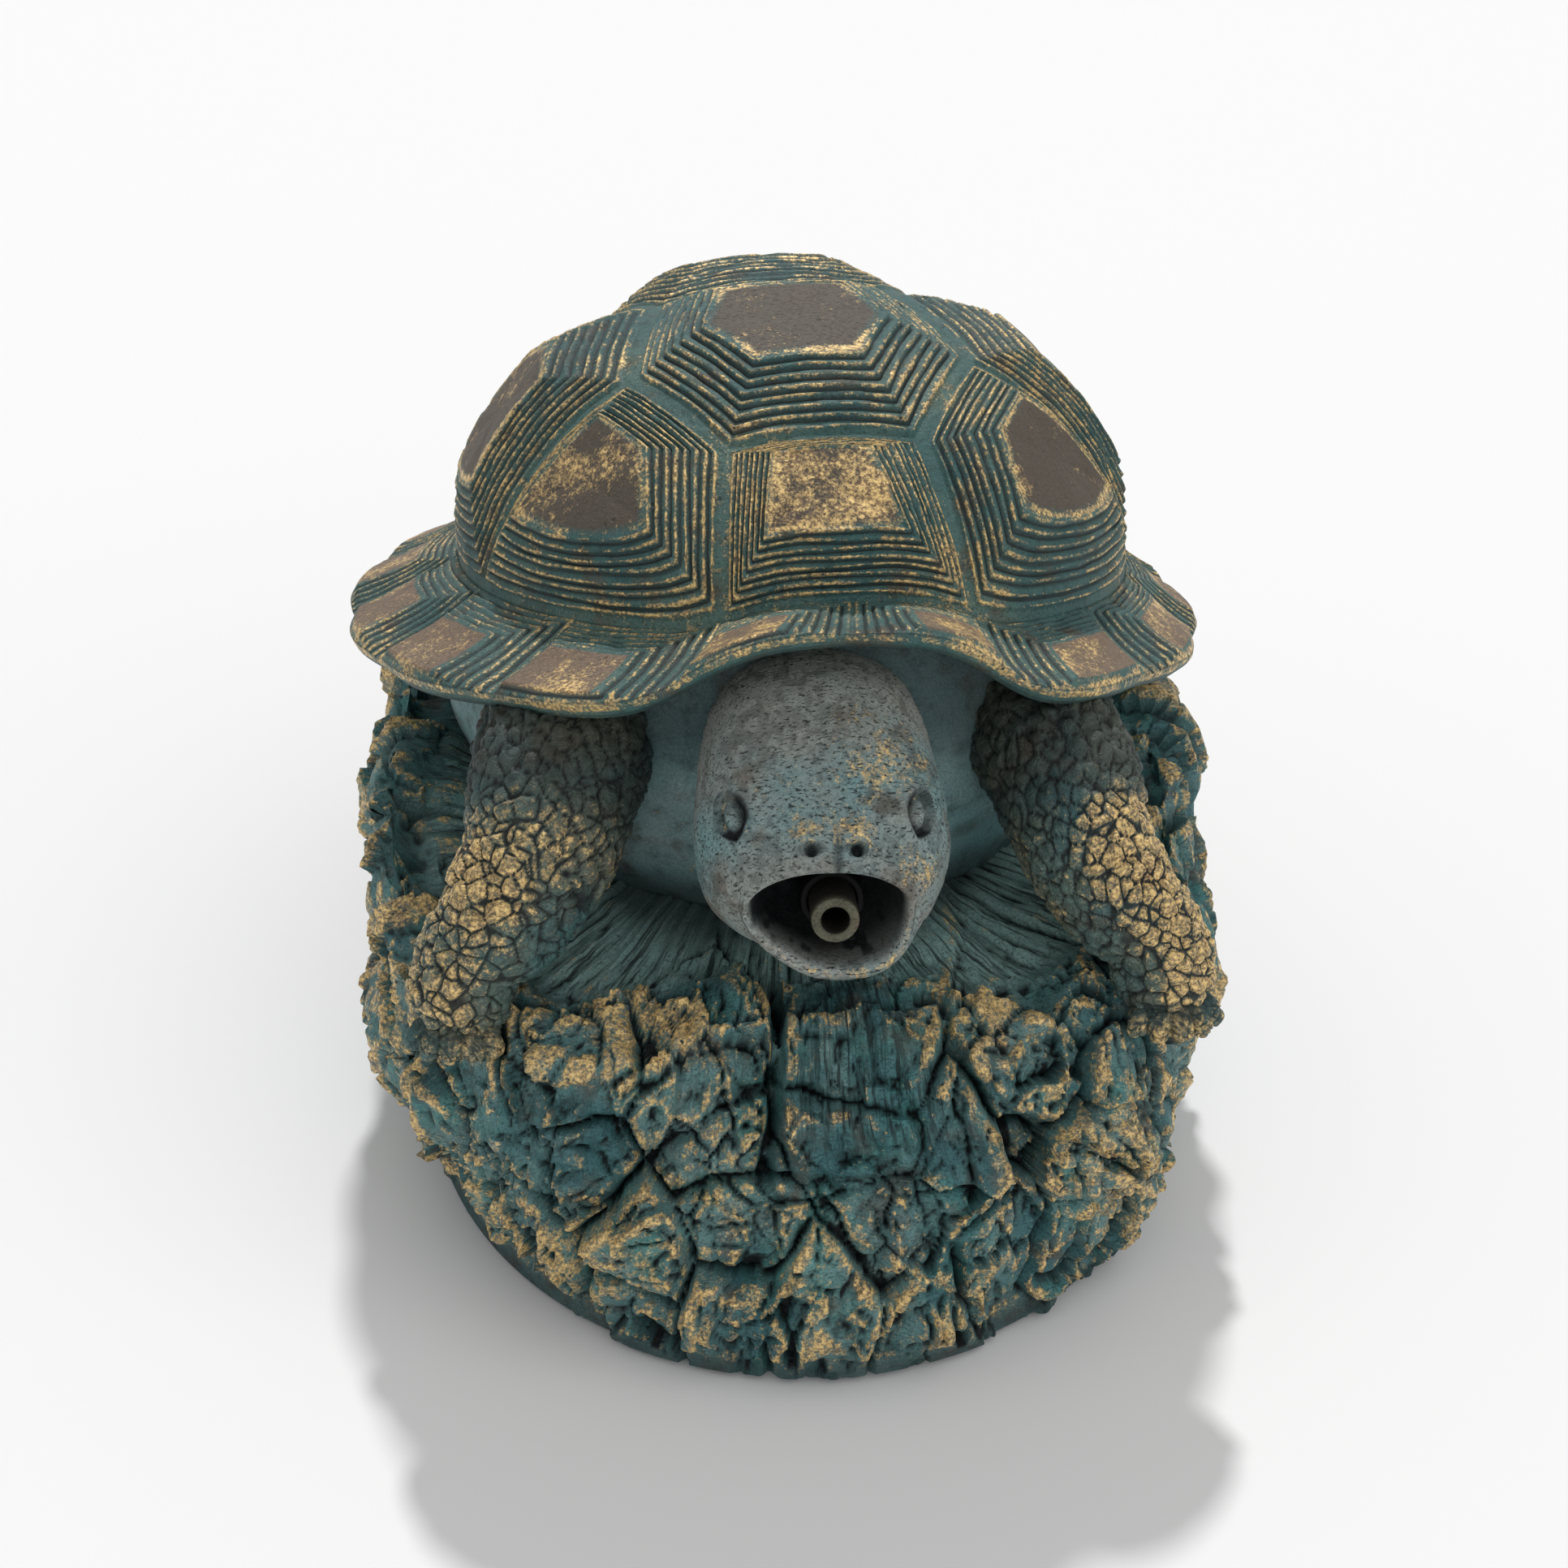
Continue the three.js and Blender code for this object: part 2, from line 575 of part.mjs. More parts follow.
// Everything above the rim's underside and a glue line below it, to clear the castings that meet the shell.
function shellEnvelope() {
  const high = 2 * DOME_HEIGHT;
  const rings = [
    rimAngles.map((angle) => rimEdge(angle, GLUE_LINE, -high)),
    rimAngles.map((angle) => rimEdge(angle, GLUE_LINE, 0)),
    rimAngles.map((angle) => rimEdge(angle, GLUE_LINE - RIM_BEVEL, RIM_LIP + GLUE_LINE)),
    rimAngles.map((angle) => rimCorner(angle).add(v3(0, 0, -GLUE_LINE))),
  ];
  return loft(rings).applyMatrix4(shellFrame);
}

// Body: rows of its outer face in the shell's frame, from the edge inside the dome down past the belly
function bodyRows(grow, angles = rimAngles) {
  const oval = ({ wide, long, deep }) => (angle) =>
    v3(
      (wide * DOME_HALF_WIDTH + grow) * Math.sin(rad(angle)),
      -(long * DOME_HALF_LENGTH + grow) * Math.cos(rad(angle)),
      -deep * SHELL_LIFT,
    );
  return [
    (angle) => dome(domeFoot(angle, BODY_SPIGOT), 0, SHELL_WALL + BODY_FIT - grow),
    (angle) => rimCorner(angle, BODY_FIT - grow),
    (angle) => {
      const corner = rimCorner(angle, BODY_FIT - grow);
      const edge = rimEdge(angle, -RIM_BEVEL, RIM_LIP);
      return corner.lerp(edge, 0.25).add(v3(0, 0, -BODY_FIT));
    },
    ...BELLY_OVALS.map(oval),
  ].map((row) => angles.map(row));
}

function bodyOutside(grow = 0) {
  return loft(bodyRows(grow)).applyMatrix4(shellFrame);
}

// A block that takes away everything below a height.
function below(z) {
  const wide = 600;
  return new THREE.BoxGeometry(wide, wide, wide).translate(0, 0, z - wide / 2);
}

function bodyInside() {
  const everyOther = rimAngles.filter((_, i) => i % 2 === 0);
  const [top, , , ...ovals] = bodyRows(-BODY_WALL, everyOther);
  const mouth = top.map((point) => point.clone().add(v3(0, 0, BODY_WALL)));
  const inside = loft([mouth, ...ovals]).applyMatrix4(shellFrame);
  return cut(inside, below(SEAT_Z + BODY_WALL));
}

// Head: sections from the neck inside the shell to the lips
const headX = (y) => THREE.MathUtils.mapLinear(y, NECK_Y, LIP_Y, NECK_X, LIP_X);
const headY = (along) => NECK_Y - along * HEAD_LENGTH;
const headZ = (rise) => LIP_Z + rise * HEAD_HALF_HEIGHT;
const lips = {
  y: LIP_Y,
  z: LIP_Z,
  half: MOUTH_HALF_WIDTH + LIP_WIDTH,
  up: MOUTH_HALF_HEIGHT + LIP_ABOVE,
  down: MOUTH_HALF_HEIGHT + LIP_BELOW,
};
const headSections = HEAD_SECTIONS.map(({ along, rise, half, up, down }) => ({
  y: headY(along),
  z: headZ(rise),
  half: half * HEAD_HALF_WIDTH,
  up: up * HEAD_HALF_HEIGHT,
  down: down * HEAD_HALF_HEIGHT,
}));

// A place on one side of the head.
function onHead({ side, along, rise }, sign) {
  const y = headY(along);
  return [headX(y) + sign * side * HEAD_HALF_WIDTH, y, headZ(rise)];
}

const nozzleAxis = v3(0, -Math.cos(rad(NOZZLE_PITCH)), Math.sin(rad(NOZZLE_PITCH)));
const nozzleTip = v3(LIP_X + NOZZLE_SIDE, LIP_Y - NOZZLE_PROUD, LIP_Z + NOZZLE_RISE);
const nozzleFrame = new THREE.Matrix4().makeRotationX(-rad(NOZZLE_PITCH)).setPosition(nozzleTip);

const BUSH_INNER = NOZZLE_OUTER + PUSH_FIT;
const BUSH_OUTER = BUSH_INNER + BUSH_WALL;
const HOSE_INNER = NOZZLE_OUTER + PUSH_FIT;
const HOSE_OUTER = HOSE_INNER + HOSE_WALL;

function headOutside(grow = 0) {
  const grown = [...headSections, lips].map((section) => ({
    ...section,
    x: headX(section.y),
    half: section.half + grow,
    up: section.up + grow,
    down: section.down + grow,
  }));
  return loft(grown.map((section) => sectionAcrossY(section)));
}

function mouthHollow() {
  const shares = [
    { depth: -4, share: 1 },
    { depth: 0, share: 1 },
    { depth: 0.5 * MOUTH_DEPTH, share: 0.9 },
    { depth: MOUTH_DEPTH, share: 0.62 },
  ];
  const rings = shares.map(({ depth, share }) =>
    sectionAcrossY(
      {
        x: headX(LIP_Y + depth),
        y: LIP_Y + depth,
        z: LIP_Z,
        half: MOUTH_HALF_WIDTH * share,
        up: MOUTH_HALF_HEIGHT * share,
        down: MOUTH_HALF_HEIGHT * share,
        power: 2.2,
      },
      ROUND,
    ),
  );
  return loft(rings);
}

function head(envelope) {
  const throat = rodAlongY(BUSH_OUTER + PUSH_FIT, BUSH_SETBACK - 1, 2 * NOZZLE_LENGTH, 0, 0);
  throat.applyMatrix4(nozzleFrame);
  const eyes = [-1, 1].map((side) =>
    new THREE.SphereGeometry(EYE_RADIUS, 10, 7).scale(0.75, 1.2, 0.85).translate(...onHead(EYE, side)),
  );
  const nostrils = [-1, 1].map((side) =>
    new THREE.CylinderGeometry(NOSTRIL_RADIUS, NOSTRIL_RADIUS, 4.3 * NOSTRIL_RADIUS, 8).translate(
      ...onHead(NOSTRIL, side),
    ),
  );
  return cut(join(headOutside(), ...eyes), mouthHollow(), throat, envelope, ...nostrils);
}

// Legs: tapered limbs on a path from the shoulder to the paw, faceted into scales, with a row of claws

// Points of a leg's path with their radii, on the left (1) or the right (-1).
function legPath({ path, radius }, side) {
  return path.map((place) => ({
    point: v3(
      side * place.side * DOME_HALF_WIDTH,
      SHELL_Y + place.back * DOME_HALF_LENGTH,
      SEAT_Z + place.high * SHELL_LIFT,
    ),
    radius: place.share * radius,
  }));
}

function limb(leg, side, grow) {
  const stations = legPath(leg, side);
  const curve = new THREE.CatmullRomCurve3(stations.map(({ point }) => point));
  const rings = Array.from({ length: leg.rings }, (_, i) => {
    const t = i / (leg.rings - 1);
    const place = t * (stations.length - 1);
    const k = Math.min(Math.floor(place), stations.length - 2);
    const radius = THREE.MathUtils.lerp(stations[k].radius, stations[k + 1].radius, place - k) + grow;
    const tangent = curve.getTangent(t);
    const across = v3(1, 0, 0).addScaledVector(tangent, -tangent.x).normalize();
    const other = v3().crossVectors(tangent, across);
    const centre = curve.getPoint(t);
    return Array.from({ length: LEG_SIDES }, (_, j) => {
      const a = (2 * Math.PI * j) / LEG_SIDES;
      const reach = radius + ((i + j) % 2 ? 0.5 : -0.5) * SCALE_RELIEF;
      return centre
        .clone()
        .addScaledVector(across, reach * Math.cos(a))
        .addScaledVector(other, reach * Math.sin(a));
    });
  });
  return loft(rings);
}

// Claws fan out from the paw, forwards on a front leg and sideways on a hind leg.
function claws(leg, side, grow) {
  const paw = legPath(leg, side).at(-1);
  return [-2, -1, 0, 1, 2].map((k) => {
    const angle = rad(leg.heading + k * CLAW_SPREAD);
    const out = v3(side * Math.sin(angle), -Math.cos(angle), -0.5).normalize();
    const cone = new THREE.ConeGeometry(CLAW_RADIUS + grow, CLAW_LENGTH + grow, 6);
    cone.applyQuaternion(new THREE.Quaternion().setFromUnitVectors(v3(0, 1, 0), out));
    const root = paw.point.clone().addScaledVector(out, 0.92 * paw.radius);
    return cone.translate(root.x, root.y, root.z);
  });
}

// The paw: a flattened ball round the end of the limb.
function pawBall(leg, side, grow) {
  const { point, radius } = legPath(leg, side).at(-1);
  return new THREE.SphereGeometry(radius + grow, 10, 5)
    .rotateX(Math.PI / 2)
    .scale(1, 1, PAW_FLATNESS)
    .translate(point.x, point.y, point.z);
}

function legOutside(leg, side, grow = 0) {
  return join(limb(leg, side, grow), pawBall(leg, side, grow), ...claws(leg, side, grow));
}

// Rock: levels from its foot up the side, over the shoulder and in to the seat

function shoulderHeight(angle) {
  const turn = Math.abs(fromFront(THREE.MathUtils.radToDeg(angle)));
  const dip = PAW_DIP * bump(turn - PAW_DIP_ANGLE, PAW_DIP_SPAN, 2);
  const rise = SHOULDER_RISE + SHOULDER_FRONT * Math.cos(angle) - SHOULDER_SIDE * Math.cos(2 * angle);
  return SEAT_Z + rise - dip;
}

// A point of the rock at an angle from the front, at a share of its half sizes, on an oval or squarer plan.
function rockPoint(angle, radius, z, squareness, inset = 0) {
  const [a, b] = [ROCK_HALF_WIDTH - inset, ROCK_HALF_LENGTH - inset];
  const [s, c] = [Math.sin(angle), Math.cos(angle)];
  const reach = radius / Math.pow(Math.abs(s) ** squareness + Math.abs(c) ** squareness, 1 / squareness);
  return v3(a * reach * s, ROCK_Y - b * reach * c, z);
}

// Reach of the rock's foot at an angle, as a share of its half sizes.
const rockFoot = (angle) => 0.98 - ROCK_UNDERCUT * Math.abs(Math.sin(angle));

// A point of the rock's outside, which grows square and leans over towards the seat.
function onRock(angle, reach, height) {
  const share = Math.min(1, height / (0.6 * SEAT_Z));
  const squareness = THREE.MathUtils.lerp(ROCK_FOOT_SQUARENESS, ROCK_SQUARENESS, share);
  const point = rockPoint(angle, reach, height, squareness);
  point.x += (ROCK_LEAN * height) / SEAT_Z;
  return point;
}

// All the blocks: those of the face, then rows of them round the sides and the back, shaken out of line.
function stones() {
  const face = ROCK_BLOCKS.map(({ turn, high, reach, out, lean }) => ({
    spot: onRock(rad(turn), reach, high * SEAT_Z),
    out: out * ROCK_STEP,
    lean,
  }));
  const rest = [];
  for (let turn = 58; turn < 303; turn += 16) {
    for (const high of [0.175, 0.425, 0.675, 0.925]) {
      const shake = turn + 80 * high;
      const height = SEAT_Z * (high + 0.0875 * Math.cos(3.7 * shake));
      rest.push({
        spot: onRock(rad(turn + 6 * Math.sin(7.1 * shake)), 0.95, height),
        out: ROCK_STEP * Math.sin(5.3 * rest.length),
        lean: 0.2 * Math.cos(2.9 * rest.length),
      });
    }
  }
  return [...face, ...rest];
}

// How far a point of the rock stands out: the step of the block it belongs to, less the crack between two.
function blockStep(point, blocks) {
  const near = blocks
    .map((block) => {
      const [x, y, z] = point.clone().sub(block.spot).toArray();
      return { block, far: Math.hypot(x, y, 0.65 * z), above: z };
    })
    .sort((a, b) => a.far - b.far);
  const [{ block, above }] = near;
  const reach = 0.175 * SEAT_Z;
  const step = block.out + block.lean * THREE.MathUtils.clamp(above, -reach, reach);
  return step - CRACK_DEPTH * bump(near[1].far - near[0].far, CRACK_WIDTH, 2);
}

// Outward direction of a grid of rings at one of its points.
function outwardAt(rings, row, i) {
  const ring = rings[row];
  const across = ring[(i + 1) % ring.length].clone().sub(ring.at(i - 1));
  const up = rings[Math.min(row + 1, rings.length - 1)][i].clone().sub(rings[Math.max(row - 1, 0)][i]);
  return across.cross(up).normalize();
}

// Angles of the rock's points, close together on the cracked face.
function rockAngles() {
  const face = 2 * ROCK_FACE;
  const back = 360 - face;
  const spread = (from, span, step) => {
    const steps = Math.round(span / step);
    return Array.from({ length: steps }, (_, i) => rad(from + (span * i) / steps));
  };
  return [...spread(-ROCK_FACE, face, ROCK_FACE_STEP), ...spread(ROCK_FACE, back, ROCK_BACK_STEP)];
}

// Levels of the rock: reach and height at an angle, and how much of the blocks' steps they take.
function rockLevels() {
  const { lerp } = THREE.MathUtils;
  const shoulder = (angle) => 0.94 - 0.2 * Math.max(0, Math.cos(angle)) ** 4;
  const flank = (share) => (angle) => {
    const belly = ROCK_BELLY * Math.abs(Math.sin(angle)) * 4 * share * (1 - share);
    return lerp(rockFoot(angle), shoulder(angle), share) + belly;
  };
  const level = (share, high) => ({
    radius: flank(share),
    z: (angle) => high * lerp(SEAT_Z, shoulderHeight(angle), Math.min(1, 2 * share)),
    steps: 1,
  });
  const rows = ROCK_FLANK.flatMap((to, k) => {
    const from = ROCK_FLANK[Math.max(k - 1, 0)];
    return Array.from({ length: to.rows }, (_, i) => {
      const part = (i + 1) / to.rows;
      return level(lerp(from.share, to.share, part), lerp(from.high, to.high, part));
    });
  });
  return [
    { radius: (angle) => rockFoot(angle) - 0.015, z: () => PAD_THICKNESS, steps: 0 },
    { radius: (angle) => rockFoot(angle) - 0.02, z: () => 0.1 * SEAT_Z, steps: 0.4 },
    ...rows,
    { radius: (angle) => shoulder(angle) - 0.06, z: shoulderHeight, steps: 0.35 },
    {
      radius: (angle) => shoulder(angle) - 0.24,
      z: (angle) => (shoulderHeight(angle) + SEAT_Z) / 2,
      steps: 0.35,
    },
    { radius: () => 0.4, z: () => SEAT_Z, steps: 0 },
  ];
}

function rockRings() {
  const angles = rockAngles();
  const levels = rockLevels();
  const plain = levels.map(({ radius, z }) =>
    angles.map((angle) => onRock(angle, radius(angle), z(angle))),
  );
  const blocks = stones();
  return plain.map((ring, row) =>
    ring.map((point, i) => {
      const step = Math.max(-0.75 * ROCK_WALL, blockStep(point, blocks));
      return point.clone().addScaledVector(outwardAt(plain, row, i), levels[row].steps * step);
    }),
  );
}

function rockHollow() {
  const angles = Array.from({ length: HOLLOW_SIDES }, (_, i) => (2 * Math.PI * i) / HOLLOW_SIDES);
  const ring = (radius, z) =>
    angles.map((angle) => rockPoint(angle, radius, z, ROCK_FOOT_SQUARENESS, ROCK_WALL));
  const roof = SEAT_Z - ROCK_ROOF;
  return loft([ring(0.92, -1), ring(0.92, 0.5 * roof), ring(0.8, 0.8 * roof), ring(0.62, roof)]);
}

// Hose: its route from the nozzle down through the belly and the rock to the inlet
const INNER_BARB_RADIUS = HOSE_INNER - PUSH_FIT;
const INLET_INNER_Y = INLET_SEAT_Y - INLET_WALL; // inner face of the rock behind the nut
const BARB_START_Y = INLET_INNER_Y - NUT_THICKNESS - 4;
const nozzleEnd = nozzleTip.clone().addScaledVector(nozzleAxis, -NOZZLE_LENGTH);
const hoseStart = nozzleEnd.clone().addScaledVector(nozzleAxis, HOSE_OVERLAP);
const hoseEnd = v3(0, BARB_START_Y - 1, INLET_Z);
const hoseBend = nozzleEnd.clone().addScaledVector(nozzleAxis, -HOSE_BEND);
const hoseLanding = v3(0, hoseEnd.y - HOSE_OVERLAP - 4 * HOSE_WALL, INLET_Z + HOSE_WALL);

// A point of the hose between its bend and its landing, from shares of the way back and of the way down.
function hoseAt(back, down) {
  const { lerp } = THREE.MathUtils;
  return v3(
    lerp(hoseBend.x, hoseLanding.x, down),
    lerp(hoseBend.y, hoseLanding.y, back),
    lerp(hoseBend.z, hoseLanding.z, down),
  );
}

const hoseRoute = new THREE.CatmullRomCurve3(
  [
    hoseStart,
    nozzleEnd,
    hoseBend,
    hoseAt(0.278, 0.165),
    hoseAt(0.53, 0.468),
    hoseAt(0.736, 0.77),
    hoseLanding,
    v3(0, hoseEnd.y - HOSE_OVERLAP, INLET_Z),
    hoseEnd,
  ],
  false,
  "centripetal",
);

function ringShape(inner, outer) {
  const shape = new THREE.Shape().absarc(0, 0, outer, 0, 2 * Math.PI);
  shape.holes.push(new THREE.Path().absarc(0, 0, inner, 0, 2 * Math.PI, true));
  return shape;
}

function tubeAlong(curve, shape, steps, curveSegments) {
  const options = { extrudePath: curve, steps, curveSegments, bevelEnabled: false };
  return surface(trianglesOf(new THREE.ExtrudeGeometry(shape, options)));
}

// The way that the hose takes through the belly and the roof of the rock.
function passage() {
  const way = new THREE.CatmullRomCurve3(hoseRoute.getPoints(24).slice(6, 18));
  const round = new THREE.Shape().absarc(0, 0, HOSE_OUTER + PASSAGE_CLEARANCE, 0, 2 * Math.PI);
  return tubeAlong(way, round, 10, 10);
}

// A spring clip: a band round the hose with two ears that pinch it open.
function hoseClip() {
  const inner = HOSE_OUTER + PUSH_FIT;
  const outer = inner + CLIP_BAND;
  const gap = rad(9);
  const ear = outer + CLIP_EAR;
  const shape = new THREE.Shape();
  shape.absarc(0, 0, outer, gap + 0.16, 2 * Math.PI - gap - 0.16);
  shape.lineTo(ear * Math.cos(gap + 0.1), -ear * Math.sin(gap + 0.1));
  shape.lineTo(ear * Math.cos(gap), -ear * Math.sin(gap));
  shape.absarc(0, 0, inner, 2 * Math.PI - gap, gap, true);
  shape.lineTo(ear * Math.cos(gap), ear * Math.sin(gap));
  shape.lineTo(ear * Math.cos(gap + 0.1), ear * Math.sin(gap + 0.1));
  const options = { depth: CLIP_WIDTH, curveSegments: ROUND / 2, bevelEnabled: false };
  const band = new THREE.ExtrudeGeometry(shape, options);
  return surface(trianglesOf(band.translate(0, 0, -CLIP_WIDTH / 2).rotateX(Math.PI / 2)));
}

// Inlet: a bulkhead hose tail through the back of the rock, turned about its own axis along Y
const GASKET_Y = INLET_SEAT_Y;
const FLANGE_Y = GASKET_Y + GASKET_THICKNESS;
const OUTER_END_Y = FLANGE_Y + FLANGE_THICKNESS + BARB_LENGTH;
const INNER_END_Y = BARB_START_Y - BARB_LENGTH;

// Corners of a row of barbs from a root towards its tip: each rises square and slopes down to the next.
function barbs(root, tip, peak, count) {
  const step = (tip - root) / count;
  const low = peak - BARB_HEIGHT;
  return Array.from({ length: count }, (_, k) => [
    [low, root + k * step],
    [peak, root + (k + 0.15) * step],
    [low, root + (k + 0.95) * step],
  ]).flat();
}

function inletFitting() {
  const profile = [
    [INLET_BORE, INNER_END_Y],
    ...barbs(BARB_START_Y, INNER_END_Y, INNER_BARB_RADIUS, BARBS).reverse(),
    [SHANK_RADIUS, BARB_START_Y],
    [SHANK_RADIUS, FLANGE_Y],
    [FLANGE_RADIUS, FLANGE_Y],
    [FLANGE_RADIUS, FLANGE_Y + FLANGE_THICKNESS],
    ...barbs(FLANGE_Y + FLANGE_THICKNESS, OUTER_END_Y, OUTER_BARB_RADIUS, BARBS),
    [OUTER_BARB_RADIUS - BARB_HEIGHT, OUTER_END_Y],
    [INLET_BORE, OUTER_END_Y],
  ];
  return turnedAboutY(profile).translate(0, 0, INLET_Z);
}

function inletGasket() {
  const inner = SHANK_RADIUS + PUSH_FIT;
  const profile = [
    [inner, GASKET_Y],
    [FLANGE_RADIUS, GASKET_Y],
    [FLANGE_RADIUS, FLANGE_Y],
    [inner, FLANGE_Y],
  ];
  return turnedAboutY(profile).translate(0, 0, INLET_Z);
}

function inletNut() {
  const corner = NUT_ACROSS_FLATS / 2 / Math.cos(Math.PI / 6);
  const hexagon = new THREE.Shape(
    Array.from({ length: 6 }, (_, i) => {
      const a = (Math.PI * i) / 3;
      return new THREE.Vector2(corner * Math.cos(a), corner * Math.sin(a));
    }),
  );
  hexagon.holes.push(new THREE.Path().absarc(0, 0, SHANK_RADIUS + PUSH_FIT, 0, 2 * Math.PI, true));
  const options = { depth: NUT_THICKNESS, curveSegments: 10, bevelEnabled: false };
  const nut = new THREE.ExtrudeGeometry(hexagon, options);
  return surface(trianglesOf(nut.rotateX(Math.PI / 2).translate(0, INLET_INNER_Y, INLET_Z)));
}

// Flats and hole for the inlet in the back wall of the rock.
function inletSeat() {
  const flat = FLANGE_RADIUS + 3;
  return [
    rodAlongY(flat, INLET_SEAT_Y, 2 * ROCK_HALF_LENGTH, 0, INLET_Z),
    rodAlongY(SHANK_RADIUS + PUSH_FIT, INLET_INNER_Y - 1, INLET_SEAT_Y + 1, 0, INLET_Z),
    rodAlongY(flat, INNER_END_Y, INLET_INNER_Y, 0, INLET_Z),
  ];
}

// A pad of rock inside the hollow that carries the nut.
function inletBoss() {
  return rodAlongY(FLANGE_RADIUS + 4, INLET_INNER_Y, INLET_SEAT_Y + 6, 0, INLET_Z);
}

// The legs lie in sockets that are open above.
function rock(envelope, legs) {
  const stone = join(cut(loft(rockRings()), rockHollow()), inletBoss());
  const body = cut(bodyOutside(GLUE_LINE), below(SEAT_Z));
  const sockets = legs.flatMap((leg) => [leg, leg.clone().translate(0, 0, 2 * CLAW_RADIUS)]);
  return cut(stone, body, below(PAD_THICKNESS), envelope, passage(), ...inletSeat(), ...sockets);
}

// Assembly

function finish(color, roughness, metalness = 0) {
  return new THREE.MeshStandardMaterial({ color, roughness, metalness });
}

const patina = finish(0x2f5a5e, 0.75, 0.1);
const shellPatina = finish(0x35605f, 0.7, 0.1);
const headPatina = finish(0x56686a, 0.8, 0.05);
const brass = finish(0x8c8568, 0.45, 0.6);
const blackRubber = finish(0x1d1d1e, 0.9);
const clearVinyl = finish(0xb9c2bd, 0.35);
const springSteel = finish(0x8d9093, 0.4, 0.9);
const blackPlastic = finish(0x26282a, 0.5);

const spitter = new THREE.Group();
spitter.position.x = CENTRE_X;

function add(name, geometry, material, parent = spitter) {
  const mesh = new THREE.Mesh(geometry, material);
  mesh.name = name;
  parent.add(mesh);
  return mesh;
}

const envelope = shellEnvelope();
const bodyCutter = bodyOutside(GLUE_LINE);
const neckCutter = headOutside(GLUE_LINE);
const sides = { left: 1, right: -1 };

const shell = new THREE.Group();
shell.applyMatrix4(shellFrame);
spitter.add(shell);
add("carapace", carapace(), shellPatina, shell);

const legCutters = [];
for (const [name, side] of Object.entries(sides)) {
  for (const [place, leg] of Object.entries({ front: FRONT_LEG, hind: HIND_LEG })) {
    add(`${place}_leg_${name}`, cut(legOutside(leg, side), bodyCutter, envelope, neckCutter), patina);
    legCutters.push(legOutside(leg, side, GLUE_LINE));
  }
}

const belly = cut(bodyOutside(), below(SEAT_Z + GLUE_LINE), bodyInside(), neckCutter, passage());
add("turtle_body", belly, patina);
add("head", head(envelope), headPatina);
add("rock_base", rock(envelope, legCutters), patina);

const tube = [
  [NOZZLE_BORE, 0],
  [NOZZLE_OUTER, 0],
  [NOZZLE_OUTER, NOZZLE_LENGTH],
  [NOZZLE_BORE, NOZZLE_LENGTH],
];
const bush = [
  [BUSH_INNER, BUSH_SETBACK],
  [BUSH_OUTER, BUSH_SETBACK],
  [BUSH_OUTER, BUSH_SETBACK + BUSH_LENGTH],
  [BUSH_INNER, BUSH_SETBACK + BUSH_LENGTH],
];
const spout = new THREE.Group();
spout.applyMatrix4(nozzleFrame);
spitter.add(spout);
add("nozzle_tube", turnedAboutY(tube), brass, spout);
add("nozzle_bush", turnedAboutY(bush), blackRubber, spout);
const nozzleClip = add("hose_clip_nozzle", hoseClip(), springSteel, spout);
nozzleClip.position.y = NOZZLE_LENGTH - HOSE_OVERLAP / 2;

const hoseSection = ringShape(HOSE_INNER, HOSE_OUTER);
add("supply_hose", tubeAlong(hoseRoute, hoseSection, HOSE_STEPS, HOSE_SEGMENTS), clearVinyl);
const inletClip = add("hose_clip_inlet", hoseClip(), springSteel);
inletClip.position.set(0, hoseEnd.y - HOSE_OVERLAP / 2, INLET_Z);

add("inlet_fitting", inletFitting(), blackPlastic);
add("inlet_gasket", inletGasket(), blackRubber);
add("inlet_nut", inletNut(), blackPlastic);

const padAngles = { front_left: 45, rear_left: 135, rear_right: 225, front_right: 315 };
for (const [place, angle] of Object.entries(padAngles)) {
  const share = rockFoot(rad(angle)) - PAD_INSET;
  const spot = rockPoint(rad(angle), share, PAD_THICKNESS / 2, ROCK_FOOT_SQUARENESS);
  const pad = new THREE.CylinderGeometry(PAD_RADIUS, PAD_RADIUS, PAD_THICKNESS, ROUND).rotateX(Math.PI / 2);
  add(`foot_pad_${place}`, pad, blackRubber).position.copy(spot);
}

export default spitter;
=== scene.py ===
from math import radians

